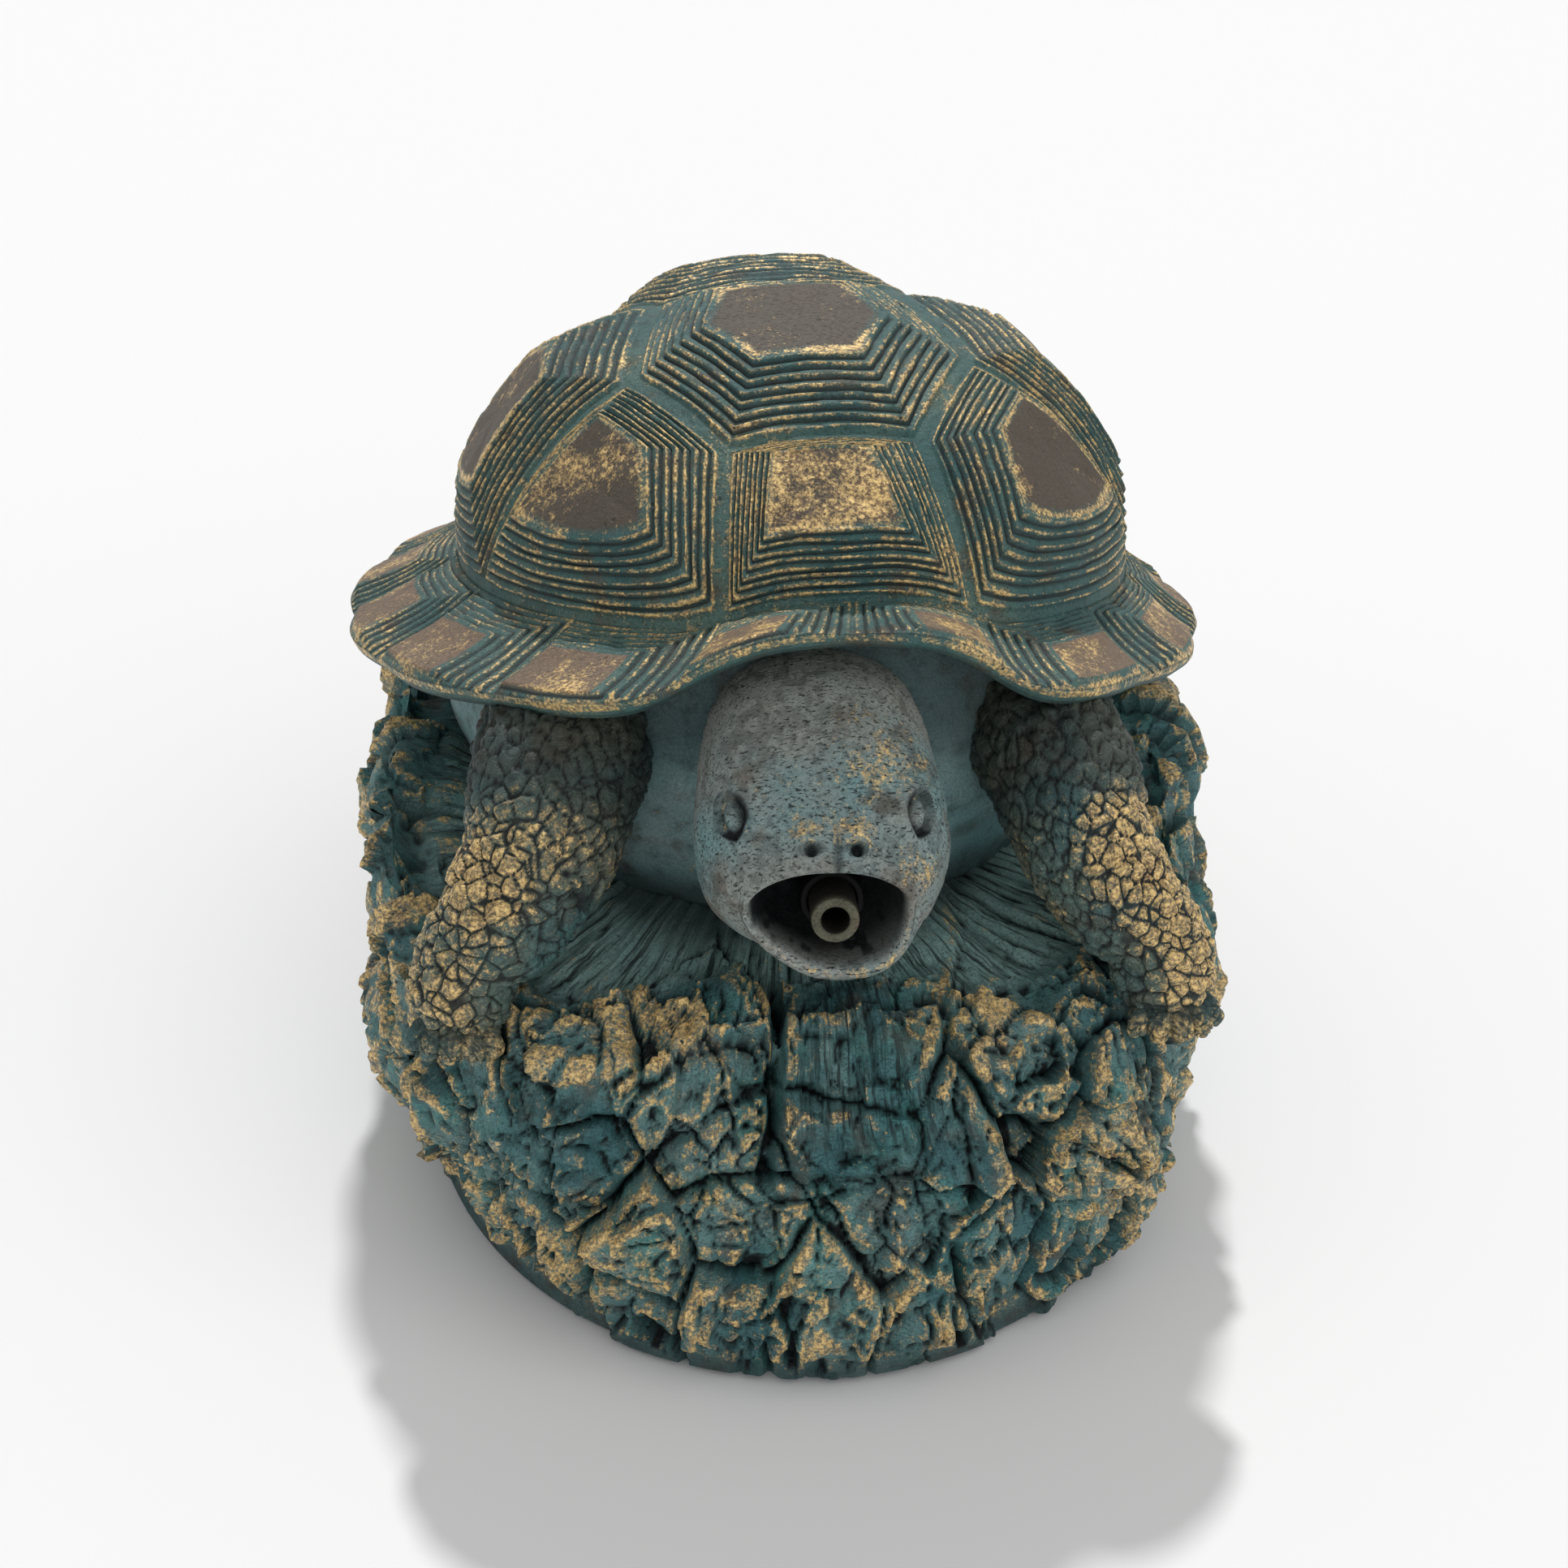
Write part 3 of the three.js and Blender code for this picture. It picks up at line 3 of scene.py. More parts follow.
import bpy
import numpy as np
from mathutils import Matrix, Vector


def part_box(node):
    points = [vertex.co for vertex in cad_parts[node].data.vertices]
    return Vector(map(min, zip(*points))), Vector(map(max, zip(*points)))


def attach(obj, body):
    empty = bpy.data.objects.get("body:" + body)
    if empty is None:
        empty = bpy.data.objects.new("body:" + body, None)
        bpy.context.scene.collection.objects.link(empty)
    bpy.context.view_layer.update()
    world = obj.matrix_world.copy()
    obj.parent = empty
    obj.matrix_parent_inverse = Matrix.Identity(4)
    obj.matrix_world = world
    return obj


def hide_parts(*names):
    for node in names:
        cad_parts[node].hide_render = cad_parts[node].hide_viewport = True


# A turtle water spitter: a cast tortoise on a cast rock, painted as old bronze. Every section works in
# millimetres, and piece() turns them to metres. The tortoise looks along -Y and its left side is at +X.
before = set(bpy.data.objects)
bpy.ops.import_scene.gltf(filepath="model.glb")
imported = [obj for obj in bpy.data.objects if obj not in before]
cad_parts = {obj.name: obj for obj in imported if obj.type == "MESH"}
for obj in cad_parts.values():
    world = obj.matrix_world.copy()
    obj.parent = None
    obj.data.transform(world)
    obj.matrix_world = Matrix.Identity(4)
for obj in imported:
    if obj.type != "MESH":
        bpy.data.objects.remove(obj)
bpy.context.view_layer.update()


# Stage: a pale table under even daylight, with one soft lamp high behind the tortoise, which throws the
# shadow towards the camera. The camera looks down at the face.
def srgb(red, green, blue):
    """Linear colour from 0 to 255 display values: a straight line near black, then the power 2.4."""
    shown = np.array([red, green, blue]) / 255
    linear = np.where(shown < 0.04045, shown / 12.92, ((shown + 0.055) / 1.055) ** 2.4)
    return (*(float(v) for v in linear), 1.0)


def placed(name, data, angles=(0, 0, 0), place=(0, 0, 0)):
    """Adds an object to the scene, turned by angles in degrees, at a place in metres."""
    made = bpy.data.objects.new(name, data)
    made.rotation_euler = [radians(angle) for angle in angles]
    made.location = place
    bpy.context.collection.objects.link(made)
    return made


def brushes(name):
    """A new material, and functions for its nodes: feed its shader, add a node, mix colours, take a value
    from one range to another and hold it there, and combine values. An input is a value or a socket."""
    made = bpy.data.materials.new(name)
    made.use_nodes = True
    tree = made.node_tree

    def fed(target, inputs):
        for key, value in inputs.items():
            if isinstance(value, bpy.types.NodeSocket):
                tree.links.new(value, target.inputs[key])
            else:
                target.inputs[key].default_value = value

    def shade(inputs):
        fed(tree.nodes["Principled BSDF"], inputs)

    def node(kind, inputs, output=0, **settings):
        added = tree.nodes.new("ShaderNode" + kind)
        for key, value in settings.items():
            setattr(added, key, value)
        fed(added, inputs)
        return added.outputs[output]

    def mixed(share, low, high, how="MIX"):
        return node("Mix", {0: share, 6: low, 7: high}, 2, data_type="RGBA", blend_type=how)

    def ranged(value, low, high, start=0.0, stop=1.0):
        inputs = {"Value": value, "From Min": low, "From Max": high, "To Min": start, "To Max": stop}
        return node("MapRange", inputs)

    def combined(how, total, *others):
        for other in others:
            total = node("Math", {0: total, 1: other}, operation=how)
        return total

    return made, shade, node, mixed, ranged, combined


paper, shade, *_ = brushes("table_paper")
shade({"Base Color": srgb(246, 246, 246), "Roughness": 0.9})
table = bpy.data.meshes.new("table")
table.from_pydata([(-4, -4, 0), (4, -4, 0), (4, 4, 0), (-4, 4, 0)], [], [(0, 1, 2, 3)])
table.materials.append(paper)
floor = placed("table", table)

scene = bpy.context.scene
scene.view_settings.view_transform = "Standard"
scene.world = bpy.data.worlds.new("daylight")
scene.world.use_nodes = True
sky = scene.world.node_tree.nodes["Background"].inputs
sky["Color"].default_value = srgb(253, 253, 253)
sky["Strength"].default_value = 0.46
for name, energy, spread, angles in (
    ("back_lamp", 1.8, 3.5, (-39, 0, -1.5)), ("fill_lamp", 0.7, 80, (48, 0, 35)),
):
    lamp = bpy.data.lights.new(name, "SUN")
    lamp.energy = energy
    lamp.angle = radians(spread)
    placed(name, lamp, angles)

lens = bpy.data.cameras.new("camera")
lens.lens = 60.2
lens.clip_start = 0.01
scene.camera = placed("camera", lens, (59.1, 0, -3), (-0.0278, -0.5702, 0.417))


# Helpers: curves and vectors, repeatable noise, mesh pieces from grids of points, and the paint.
def smooth(low, high, value):
    """Smoothstep: 0 below low, 1 above high, and a soft S between."""
    share = np.clip((value - low) / (high - low), 0, 1)
    return share * share * (3 - 2 * share)


def bell(value, power=2):
    """Bell curve: 1 at 0, and fading on both sides as the exponential of minus a power of the value."""
    return np.exp(-(np.abs(value) ** power))


def length(vectors):
    return np.linalg.norm(vectors, axis=-1)


def near(points, place, size, power=2):
    """Bell curve of the distance of points from a place, measured in sizes."""
    return bell(length(points - np.array(place)) / size, power)


def unit(vectors):
    """Vectors divided by their lengths."""
    return vectors / np.maximum(length(vectors), 1e-9)[..., None]


def dot(first, second):
    return np.einsum("ijk,ijk->ij", first, second)


def stacked(*parts):
    """Arrays set side by side along a new last axis: coordinates make points, point numbers make faces."""
    return np.stack(parts, axis=-1)


def chance(cell, seed):
    """A repeatable number from 0 to 1 for each whole-number cell: the fraction left of a large sine."""
    large = np.sin(cell @ np.array([12.9898, 78.233, 37.719]) + 4.137 * seed) * 43758.5453
    return large - np.floor(large)


def noise(points, size, seed):
    """Smooth noise from -1 to 1: chances at the corners of cubes of the size, blended by smoothsteps."""
    scaled = points / size
    corner = np.floor(scaled)
    share = smooth(0, 1, scaled - corner)
    total = 0
    for step in np.ndindex(2, 2, 2):
        weight = np.prod(np.where(step, share, 1 - share), axis=-1)
        total = total + weight * chance(corner + step, seed)
    return 2 * total - 1


def rough(points, size, octaves, seed):
    """Sum of noises, each of half the size and half the strength of the one before."""
    return sum(noise(points, size / 2**k, seed + 7 * k) / 2**k for k in range(octaves))


def shaken(points, size, seed):
    """Vectors of three noises, one along each axis."""
    return stacked(*(noise(points, size, seed + k) for k in range(3)))


def cells(points, size, seed):
    """Cell noise: the way to the nearest scattered point, how much farther the next is, and its chance."""
    scaled = points / size
    home = np.floor(scaled)
    first = np.full(points.shape[:-1], np.inf)
    second, name, way = first.copy(), first.copy(), np.zeros_like(points)
    for step in np.ndindex(3, 3, 3):
        cell = home + step - 1
        spot = stacked(*(chance(cell, seed + k) for k in range(3)))
        far = length(cell + spot - scaled)
        second = np.where(far < first, first, np.minimum(second, far))
        name = np.where(far < first, chance(cell, seed + 5), name)
        way = np.where((far < first)[..., None], cell + spot - scaled, way)
        first = np.minimum(first, far)
    return way * size, (second - first) * size, name


join = np.concatenate


def piece(name, points, quads, triangles=(), **marks):
    """A smooth mesh piece of the part from points in millimetres, with a number per point for every mark.
    Faces are turned outwards if the signed volume is negative."""
    triangles = np.asarray(triangles, int).reshape(-1, 3)
    fans = join([quads[:, [0, 1, 2]], quads[:, [0, 2, 3]], triangles])
    a, b, c = (points[fans[:, k]] for k in range(3))
    if np.einsum("ij,ij->", a, np.cross(b, c)) < 0:
        quads, triangles = quads[:, ::-1], triangles[:, ::-1]
    mesh = bpy.data.meshes.new(name)
    mesh.vertices.add(len(points))
    mesh.vertices.foreach_set("co", (points / 1000).ravel())
    mesh.loops.add(quads.size + triangles.size)
    mesh.loops.foreach_set("vertex_index", join([quads.ravel(), triangles.ravel()]))
    mesh.polygons.add(len(quads) + len(triangles))
    starts = join([4 * np.arange(len(quads)), quads.size + 3 * np.arange(len(triangles))])
    mesh.polygons.foreach_set("loop_start", starts)
    mesh.polygons.foreach_set("use_smooth", np.ones(len(starts), bool))
    mesh.update(calc_edges=True)
    for mark, values in marks.items():
        mesh.attributes.new(mark, "FLOAT", "POINT").data.foreach_set("value", np.ravel(values))
    made = placed(name, mesh)
    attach(made, "root")
    return made


def loop_quads(rows, columns, closed=False):
    """Quads of a grid of points numbered row by row. Its columns close into a loop, and its rows may too."""
    low, left = np.meshgrid(np.arange(rows if closed else rows - 1), np.arange(columns), indexing="ij")
    high, right = (low + 1) % rows, (left + 1) % columns
    corners = [low * columns + left, low * columns + right, high * columns + right, high * columns + left]
    return stacked(*corners).reshape(-1, 4)


def fan(row, tip):
    """Triangles from a closed row of point numbers to one point."""
    return stacked(row, np.roll(row, -1), np.full(len(row), tip))


def solid(name, *castings):
    """A piece from looped grids, each with its marks. A grid's first and last rows are closed by fans to
    their means, where every mark is 0."""
    points, quads, triangles, marks, start = [], [], [], {}, 0
    for grid, kept in castings:
        rows, columns = grid.shape[:2]
        points += [grid.reshape(-1, 3), grid[:1].mean(axis=1), grid[-1:].mean(axis=1)]
        quads.append(loop_quads(rows, columns) + start)
        first = start + np.arange(columns)
        tip = start + rows * columns
        triangles += [fan(first, tip)[:, [1, 0, 2]], fan(first + (rows - 1) * columns, tip + 1)]
        for mark, values in kept.items():
            marks.setdefault(mark, []).append(np.append(values, [0, 0]))
        start = tip + 2
    marks = {mark: join(values) for mark, values in marks.items()}
    return piece(name, join(points), join(quads), join(triangles), **marks)


def normals(grid):
    """Unit normals of a looped grid: cross product of the differences along its columns and its rows."""
    sideways = np.roll(grid, -1, axis=1) - np.roll(grid, 1, axis=1)
    return unit(np.cross(sideways, np.gradient(grid, axis=0)))


def bulge(grid, reach):
    """How far each point stands out, along its normal, from the mean of the four points a reach away."""
    padded = np.pad(grid, ((reach, reach), (0, 0), (0, 0)), mode="edge")
    mean = (np.roll(grid, reach, axis=1) + np.roll(grid, -reach, axis=1)) / 4
    mean = mean + (padded[: -2 * reach] + padded[2 * reach :]) / 4
    return dot(grid - mean, normals(grid))


def patina(
    name, base, tint, gilt, plate=(96, 80, 66), dark=(9, 13, 14), pores=0.5, dashes=0.4, cracks=0.0,
    green=0.0, clouds=0.45, relief=0.0008,
):
    """Resin painted as old bronze. Broad noise goes from base to tint, with rust and verdigris in patches.
    Hollows, pits, dashes, fibres and cracks between scales turn dark, and so does painted shade carried by
    the same mark as the hollows. Plates take their own colour, and the same plate mark lays painted light on
    the rock's ledge and the neck. Gold is dry-brushed where the edge mark, patchy noise and the gilt together
    pass a limit."""
    made, shade, node, mixed, ranged, combined = brushes(name)
    place = node("TexCoord", {}, "Object")
    drawn = node("VectorMath", {0: place, 1: (0.4, 1.0, 0.8)}, operation="MULTIPLY")

    def cloud(scale, detail, roughness=0.55, seed=0.0, vector=place):
        inputs = {"Vector": vector, "W": seed, "Scale": scale, "Detail": detail, "Roughness": roughness}
        return node("TexNoise", inputs, noise_dimensions="4D")

    def mark(word):
        return node("Attribute", {}, "Fac", attribute_name=word)

    broad, patchy, grit = cloud(38, 4), cloud(210, 6, 0.7), cloud(1900, 3, 0.7)
    moved = node("VectorMath", {0: place, 1: cloud(400, 2, seed=5.0)}, operation="ADD")
    moved = mixed(0.0025, place, moved)
    plates = node("TexVoronoi", {"Vector": moved, "Scale": 290.0}, "Distance", feature="DISTANCE_TO_EDGE")
    crack = combined("MULTIPLY", ranged(plates, 0.02, 0.075, 1.0, 0.0), cracks)
    pits = node("TexVoronoi", {"Vector": place, "Scale": 330.0}, "Distance")
    pits = combined("MULTIPLY", ranged(pits, 0.1, 0.22, pores, 0.0), ranged(patchy, 0.48, 0.58))
    streaks = ranged(cloud(1900, 3, 0.6, 2.0, drawn), 0.55, 0.66, 0.0, dashes)
    split_way = node("CombineXYZ", {0: mark("across"), 1: mark("along")})
    fibres = ranged(cloud(0.8, 4, 0.6, 7.0, split_way), 0.5, 0.62, 0.0, 0.85)
    sunk = combined("MAXIMUM", crack, pits, streaks, combined("MULTIPLY", fibres, mark("fibre")))

    colour = mixed(ranged(broad, 0.4, 0.62), srgb(*base), srgb(*tint))
    colour = mixed(ranged(cloud(70, 5, seed=9.0), 0.52, 0.68, 0, green), colour, srgb(78, 160, 154))
    colour = mixed(ranged(cloud(95, 5, seed=3.0), 0.54, 0.68, 0, 0.65), colour, srgb(104, 82, 62))
    colour = mixed(ranged(patchy, 0.5, 0.7, 0, clouds), colour, srgb(*dark))
    # The plate mark gives the shell's brown plates, and painted light on the rock's ledge and the neck under
    # the rim.
    colour = mixed(combined("MULTIPLY", mark("plate"), 0.9), colour, srgb(*plate))
    colour = mixed(ranged(grit, 0.35, 0.65, 0.75, 0.0), colour, (0.42, 0.46, 0.46, 1), "MULTIPLY")
    # This mark darkens hollows and also carries painted shade: under the rim, at the rock's foot, in the
    # eyes, mouth and grooves.
    hollow = mark("hollow")
    colour = mixed(combined("MAXIMUM", hollow, sunk), colour, srgb(*dark))
    worn = combined(
        "ADD", ranged(patchy, 0.3, 0.7, -0.45, 0.45), ranged(broad, 0.35, 0.65, -0.3, 0.3),
        ranged(grit, 0.3, 0.7, -0.3, 0.3), ranged(cloud(750, 3, 0.6, 4.0), 0.3, 0.7, -0.35, 0.35),
        mark("edge"), combined("ADD", mark("gilt"), gilt),
    )
    kept = combined("MULTIPLY", ranged(hollow, 0.2, 0.6, 1, 0), ranged(sunk, 0.1, 0.5, 1, 0))
    specks = cloud(1050, 3, 0.65, 6.0)
    bronze = mixed(ranged(specks, 0.38, 0.6), srgb(150, 114, 78), srgb(255, 220, 148))
    speckled = ranged(specks, 0.36, 0.52, 0.35, 1.0)
    brushed = combined("MULTIPLY", ranged(worn, 0.4, 0.95, 0, 0.95), kept, speckled)
    height = combined("ADD", combined("MULTIPLY", patchy, 1.2), combined("MULTIPLY", grit, 0.35))
    height = combined("SUBTRACT", height, combined("MULTIPLY", sunk, 0.9))
    shade({
        "Base Color": mixed(brushed, colour, bronze),
        "Roughness": ranged(brushed, 0, 1, 0.62, 0.42),
        "Metallic": ranged(brushed, 0, 1, 0.05, 0.35),
        "Normal": node("Bump", {"Height": height, "Strength": 0.7, "Distance": relief}),
    })
    return made


def finished(made, material, slot, *nodes):
    """Gives a piece its material and hides the CAD nodes it stands for. The slot is not used."""
    made.data.materials.append(material)
    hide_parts(*nodes)


def wrapped(angle):
    """An angle in degrees, taken to the range from -180 to 180."""
    return (angle + 180) % 360 - 180


def between(keys, shares):
    """Points on a Catmull-Rom curve through the keys, at shares of its length from 0 to 1."""
    place = np.clip(shares * (len(keys) - 1), 0, len(keys) - 1 - 1e-9)
    k = place.astype(int)
    t = (place - k).reshape((-1,) + (1,) * (keys.ndim - 1))
    before, here = keys[np.maximum(k - 1, 0)], keys[k]
    after, beyond = keys[k + 1], keys[np.minimum(k + 2, len(keys) - 1)]
    slope_here, slope_after = (after - before) / 2, (beyond - here) / 2
    bend = 3 * (after - here) - 2 * slope_here - slope_after
    twist = 2 * (here - after) + slope_here + slope_after
    return here + t * (slope_here + t * (bend + t * twist))


# Rock: one hollow resin casting, cracked into blocks in front, with wood-like grain on its top. It has a
# narrower foot and a spot-faced hole for the inlet behind. The belly is bonded to its top.
rock_middle = 4


def rock_plan(angle, reach, height, inset=0.0):
    """A point at an angle from the front: a superellipse, rounder near the foot, that leans with height."""
    power = 2.15 + 0.55 * np.clip(height / 48, 0, 1)
    sine, cosine = np.sin(angle), np.cos(angle)
    radius = reach / (np.abs(sine) ** power + np.abs(cosine) ** power) ** (1 / power)
    x = rock_middle + (106 - inset) * radius * sine - height / 20
    return stacked(x, -10 - (130 - inset) * radius * cosine, height + 0 * x)


spans = ((-56, 56, 300), (56, 112, 90), (112, 248, 140), (248, 304, 90))
turn = join([np.linspace(*span, endpoint=False) for span in spans])
turn = np.radians(wrapped(turn))
degrees = np.degrees(turn)
facing, aside, angled = np.cos(turn), np.abs(np.sin(turn)), np.abs(degrees)
shoulder = 86 - facing - 11 * np.cos(2 * turn) - 11.5 * bell((angled - 45) / 20)
base = 0.98 - 0.07 * aside
brow = 0.94 - 0.2 * np.maximum(0, facing) ** 4
flank = lambda share: base + (brow - base) * share + 0.2 * aside * share * (1 - share)
outline = [
    (base - 0.012, 2), (base - 0.02, 8), (flank(0), 15), (flank(0.22), 33), (flank(0.5), 0.62 * shoulder),
    (flank(0.8), 0.83 * shoulder), (flank(0.97), 0.95 * shoulder), (brow - 0.06, shoulder),
    (brow - 0.24, (shoulder + 80) / 2), (0.4, 80), (0.05, 80),
]
reaches, heights = (np.stack([pair[k] + 0 * turn for pair in outline]) for k in range(2))
steps = [4, 8, 21, 28, 26, 13, 11, 20, 10, 3]
stations = join([np.linspace(k, k + 1, n, endpoint=False) for k, n in enumerate(steps)] + [[len(steps)]])
below = np.minimum(stations.astype(int), len(steps) - 1)
share = (stations - below)[:, None]
reach_rows, height_rows = (rows[below] * (1 - share) + rows[below + 1] * share for rows in (reaches, heights))
for _ in range(9):
    for rows in (reach_rows, height_rows):
        rows[1:-1] = (rows[:-2] + 2 * rows[1:-1] + rows[2:]) / 4
stone = rock_plan(turn, reach_rows, height_rows)
out = normals(stone)

# The front blocks: angle from the front, height, reach, how far each stands out, and how much it leans out
# upwards. Those at the sides and behind follow a wavering pattern.
blocks = np.array([
    (-33, 71, 0.82, 4, 0.15), (-40, 75, 0.66, 2, 0.0), (-18, 74, 0.75, 4, 0.1), (-15, 64, 0.81, 3, 0.1),
    (-13, 53, 0.84, 3, 0.15), (8, 68, 0.78, 5, 0.15), (6, 55, 0.81, 5, 0.35),
    (12, 76, 0.6, 2, 0.0), (30, 71, 0.86, 3, 0.2), (40, 73, 0.75, 2, 0.0), (28, 58, 0.92, -8, 0.0),
    (19, 50, 0.89, 4, 0.0), (36, 47, 0.99, 4, 0.1), (43, 60, 0.99, 3, 0.0), (-42, 65, 0.97, 1, 0.0),
    (-30, 51, 0.95, 1, 0.2), (-34, 24, 0.97, 1, 0.15), (-22, 31, 0.97, 2, 0.15), (-11, 39, 0.91, 1, 0.2),
    (6, 36, 0.88, 2, 0.2), (22, 32, 0.95, 1, 0.1), (0, 20, 0.96, 3, 0.0), (13, 17, 0.97, 3, 0.0),
    (-46, 40, 0.97, 1, 0.1), (36, 22, 0.98, 2, 0.0), (-12, 17, 0.97, 3, 0.0), (-24, 13, 0.97, 1, 0.0),
])
seeds = rock_plan(np.radians(blocks[:, 0]), blocks[:, 2], blocks[:, 1])
other = np.array([(a, h) for a in range(58, 303, 16) for h in (14, 34, 54, 74)], float)
other = other + stacked(6 * np.sin(7.1 * other.sum(axis=1)), 7 * np.cos(3.7 * other.sum(axis=1)))
seeds = join([seeds, rock_plan(np.radians(wrapped(other[:, 0])), 0.95, other[:, 1])])
stand = join([np.maximum(1.3 * blocks[:, 3], -7), 2.5 * np.sin(5.3 * np.arange(len(other))) - 2])
lean = join([blocks[:, 4], 0.2 * np.cos(2.9 * np.arange(len(other)))])
warped = stone + 4 * shaken(stone, 18, 0) + 0.9 * shaken(stone, 5, 3)
nearest = np.full(stone.shape[:2], np.inf)
second = nearest.copy()
stand_out = np.zeros_like(nearest)
for k, (seed, rise, tip) in enumerate(zip(seeds, stand, lean)):
    far = length((warped - seed) * (1, 1, 0.65)) + (3.5 if rise < -5 else 0)
    sideways = 0.22 * np.sin(3.7 * k) * np.clip(warped[..., 0] - seed[0], -12, 12)
    offset = rise + tip * np.clip(warped[..., 2] - seed[2], -14, 14) + sideways
    stand_out = np.where(far < nearest, offset, stand_out)
    second = np.where(far < nearest, nearest, np.minimum(second, far))
    nearest = np.minimum(nearest, far)


def facets(points, size, high, tip, seed):
    """Broken faces: each cell of cell noise is a tilted plane. Also gives the gap to the cell's border."""
    way, gap, name = cells(points, size, seed)
    slope = stacked(np.sin(43 * name), np.cos(71 * name), np.sin(97 * name))
    return high * (2 * name - 1) + tip * dot(way, slope), gap


on_top = smooth(0.55, 0.85, out[..., 2])
inner_top = on_top * smooth(brow - 0.1, brow - 0.2, reach_rows)
upper_face = (1 - on_top) * smooth(34, 58, height_rows)
flow = bell((degrees - 9) / 8) * smooth(50, 62, height_rows)
across = 2 * degrees + 4 * noise(stone, 30, 9)
along = 0.9 * np.arange(len(stations))[:, None] + 0 * across
grain = rough(stacked(across, 0.16 * along, 0 * along), 3.0, 3, 20)
broken, broken_gap = facets(warped * (1, 1, 0.55), 11, 1.5, 0.34, 44)
chipped = facets(warped * (1, 1, 0.75), 4.6, 0.45, 0.3, 46)[0]
fine = 0.3 + 0.7 * smooth(72, 46, angled)
upright = smooth(0.13, 0.05, np.abs(noise(warped * (1, 1, 0.22), 5.0, 31)))
level_cut = smooth(0.12, 0.04, np.abs(noise(warped * (0.3, 0.3, 1), 5.2, 35)))
level_cut = level_cut * smooth(0.0, 0.3, noise(stone, 9, 36))
split = 0.2 + 0.8 * smooth(-0.25, 0.25, noise(stone, 22, 33))
cleft = bell((second - nearest) / 1.5) * split * (1 - 0.45 * smooth(26, 14, height_rows))
crack = bell(broken_gap / 0.7) * smooth(-0.15, 0.3, noise(stone, 13, 47))
gorge = (degrees + 5.5 + 1.6 * noise(stone, 14, 51) - 0.06 * (height_rows - 60)) * 1.9 / 2.1
gorge = bell(gorge, 4) * smooth(42, 50, height_rows) * (1 - inner_top)
bare = 1 - np.maximum(0.85 * inner_top, 0.5 * flow)
depth = stand_out * (1 - 0.65 * inner_top) - 7.5 * cleft * (1 - 0.7 * inner_top) - 8.5 * gorge
depth = depth + bare * (broken + fine * (chipped - 0.9 * upright - 1.2 * level_cut) - 1.5 * crack)
depth = depth + (1.1 * inner_top + 0.6 * upper_face + 0.7 * flow) * grain + 0.35 * rough(stone, 3.2, 3, 40)
low = smooth(18, 7, height_rows)
depth = np.clip(depth + 1.6 * low * rough(stone, 7, 3, 52), -11 + 10 * low, 9 - 6 * low)
depth = depth * smooth(-4, 3, np.arange(len(stations)))[:, None] * smooth(0.3, 0.42, reach_rows)
stone = stone + out * depth[..., None]
inlet, seat_back, seat_radius = np.array([rock_middle, 0, 28]), 104, 15.6
from_inlet = np.hypot(stone[..., 0] - inlet[0], stone[..., 2] - inlet[2])
spot_face = (from_inlet < seat_radius) & (stone[..., 1] > seat_back)
stone[spot_face, 1] = seat_back

cavity = [
    (0.1, 64), (0.3, 64), (0.55, 64), (0.62, 64), (0.72, 57), (0.8, 51), (0.88, 42), (0.92, 32), (0.92, 16),
    (0.92, 2.2),
]
inner = [rock_plan(turn, reach, z, 13.0) + (z / 20, 0, 0) for reach, z in cavity]
stone_grid = join([np.stack(inner), stone])
outer = lambda mark: join([np.zeros((len(cavity), len(turn))), mark])
rises, wide = bulge(stone_grid, 2), bulge(stone_grid, 6)
edge = 0.5 * smooth(0.1, 0.9, rises) + 0.75 * smooth(0.3, 2.4, wide)
hollow = np.clip(0.95 * smooth(0.2, 0.8, -rises) + smooth(0.7, 2.2, -wide), 0, 1)
hollow = hollow * (0.65 + 0.35 * smooth(80, 56, angled))
# Painted shade: the foot, tucked under the overhanging blocks, and the back of the top ledge beside the belly
# turn dark.
hollow = np.maximum(hollow, 0.6 * smooth(12, 4, stone_grid[..., 2]))
hollow = np.maximum(hollow, outer(0.75 * smooth(0.56, 0.46, reach_rows) * inner_top))
gilt = -0.5 * smooth(12, 5, stone_grid[..., 2])
for angle, high, reach, size, much in (
    (-30, 75, 0.74, 12, 0.75), (-17, 75, 0.74, 9, 0.9), (-48, 62, 0.97, 22, 0.4), (29, 74, 0.76, 11, 0.6),
    (39, 52, 0.97, 18, 0.6), (-24, 42, 0.94, 12, 0.45), (-10, 18, 0.98, 22, 0.4), (18, 18, 0.98, 22, 0.4),
    (-36, 22, 0.98, 18, 0.45), (40, 24, 0.98, 18, 0.45), (62, 70, 0.95, 24, 0.4), (-66, 72, 0.95, 24, 0.35),
):
    gilt = gilt + much * near(stone_grid, rock_plan(radians(angle), reach, high), size)
# Painted light: the top ledge, in the shade of the head and shell, takes the pale plate colour, and so does a
# patchy splash at its front edge.
splash = near(stone_grid, rock_plan(radians(1), 0.77, 75), 9) * smooth(-0.3, 0.3, noise(stone_grid, 7, 55))
ledge = np.maximum(outer(0.9 * inner_top * smooth(-0.1, 0.5, facing)), 0.75 * splash)
fibre = outer(np.clip(inner_top + 0.4 * upper_face + flow, 0, 1))
marks = dict(edge=edge, hollow=hollow, gilt=gilt, fibre=fibre)
marks.update(across=outer(across), along=outer(0.14 * along), plate=ledge)
rock = solid("rock_casting", (stone_grid, marks))
rock.data.set_sharp_from_angle(angle=radians(42))
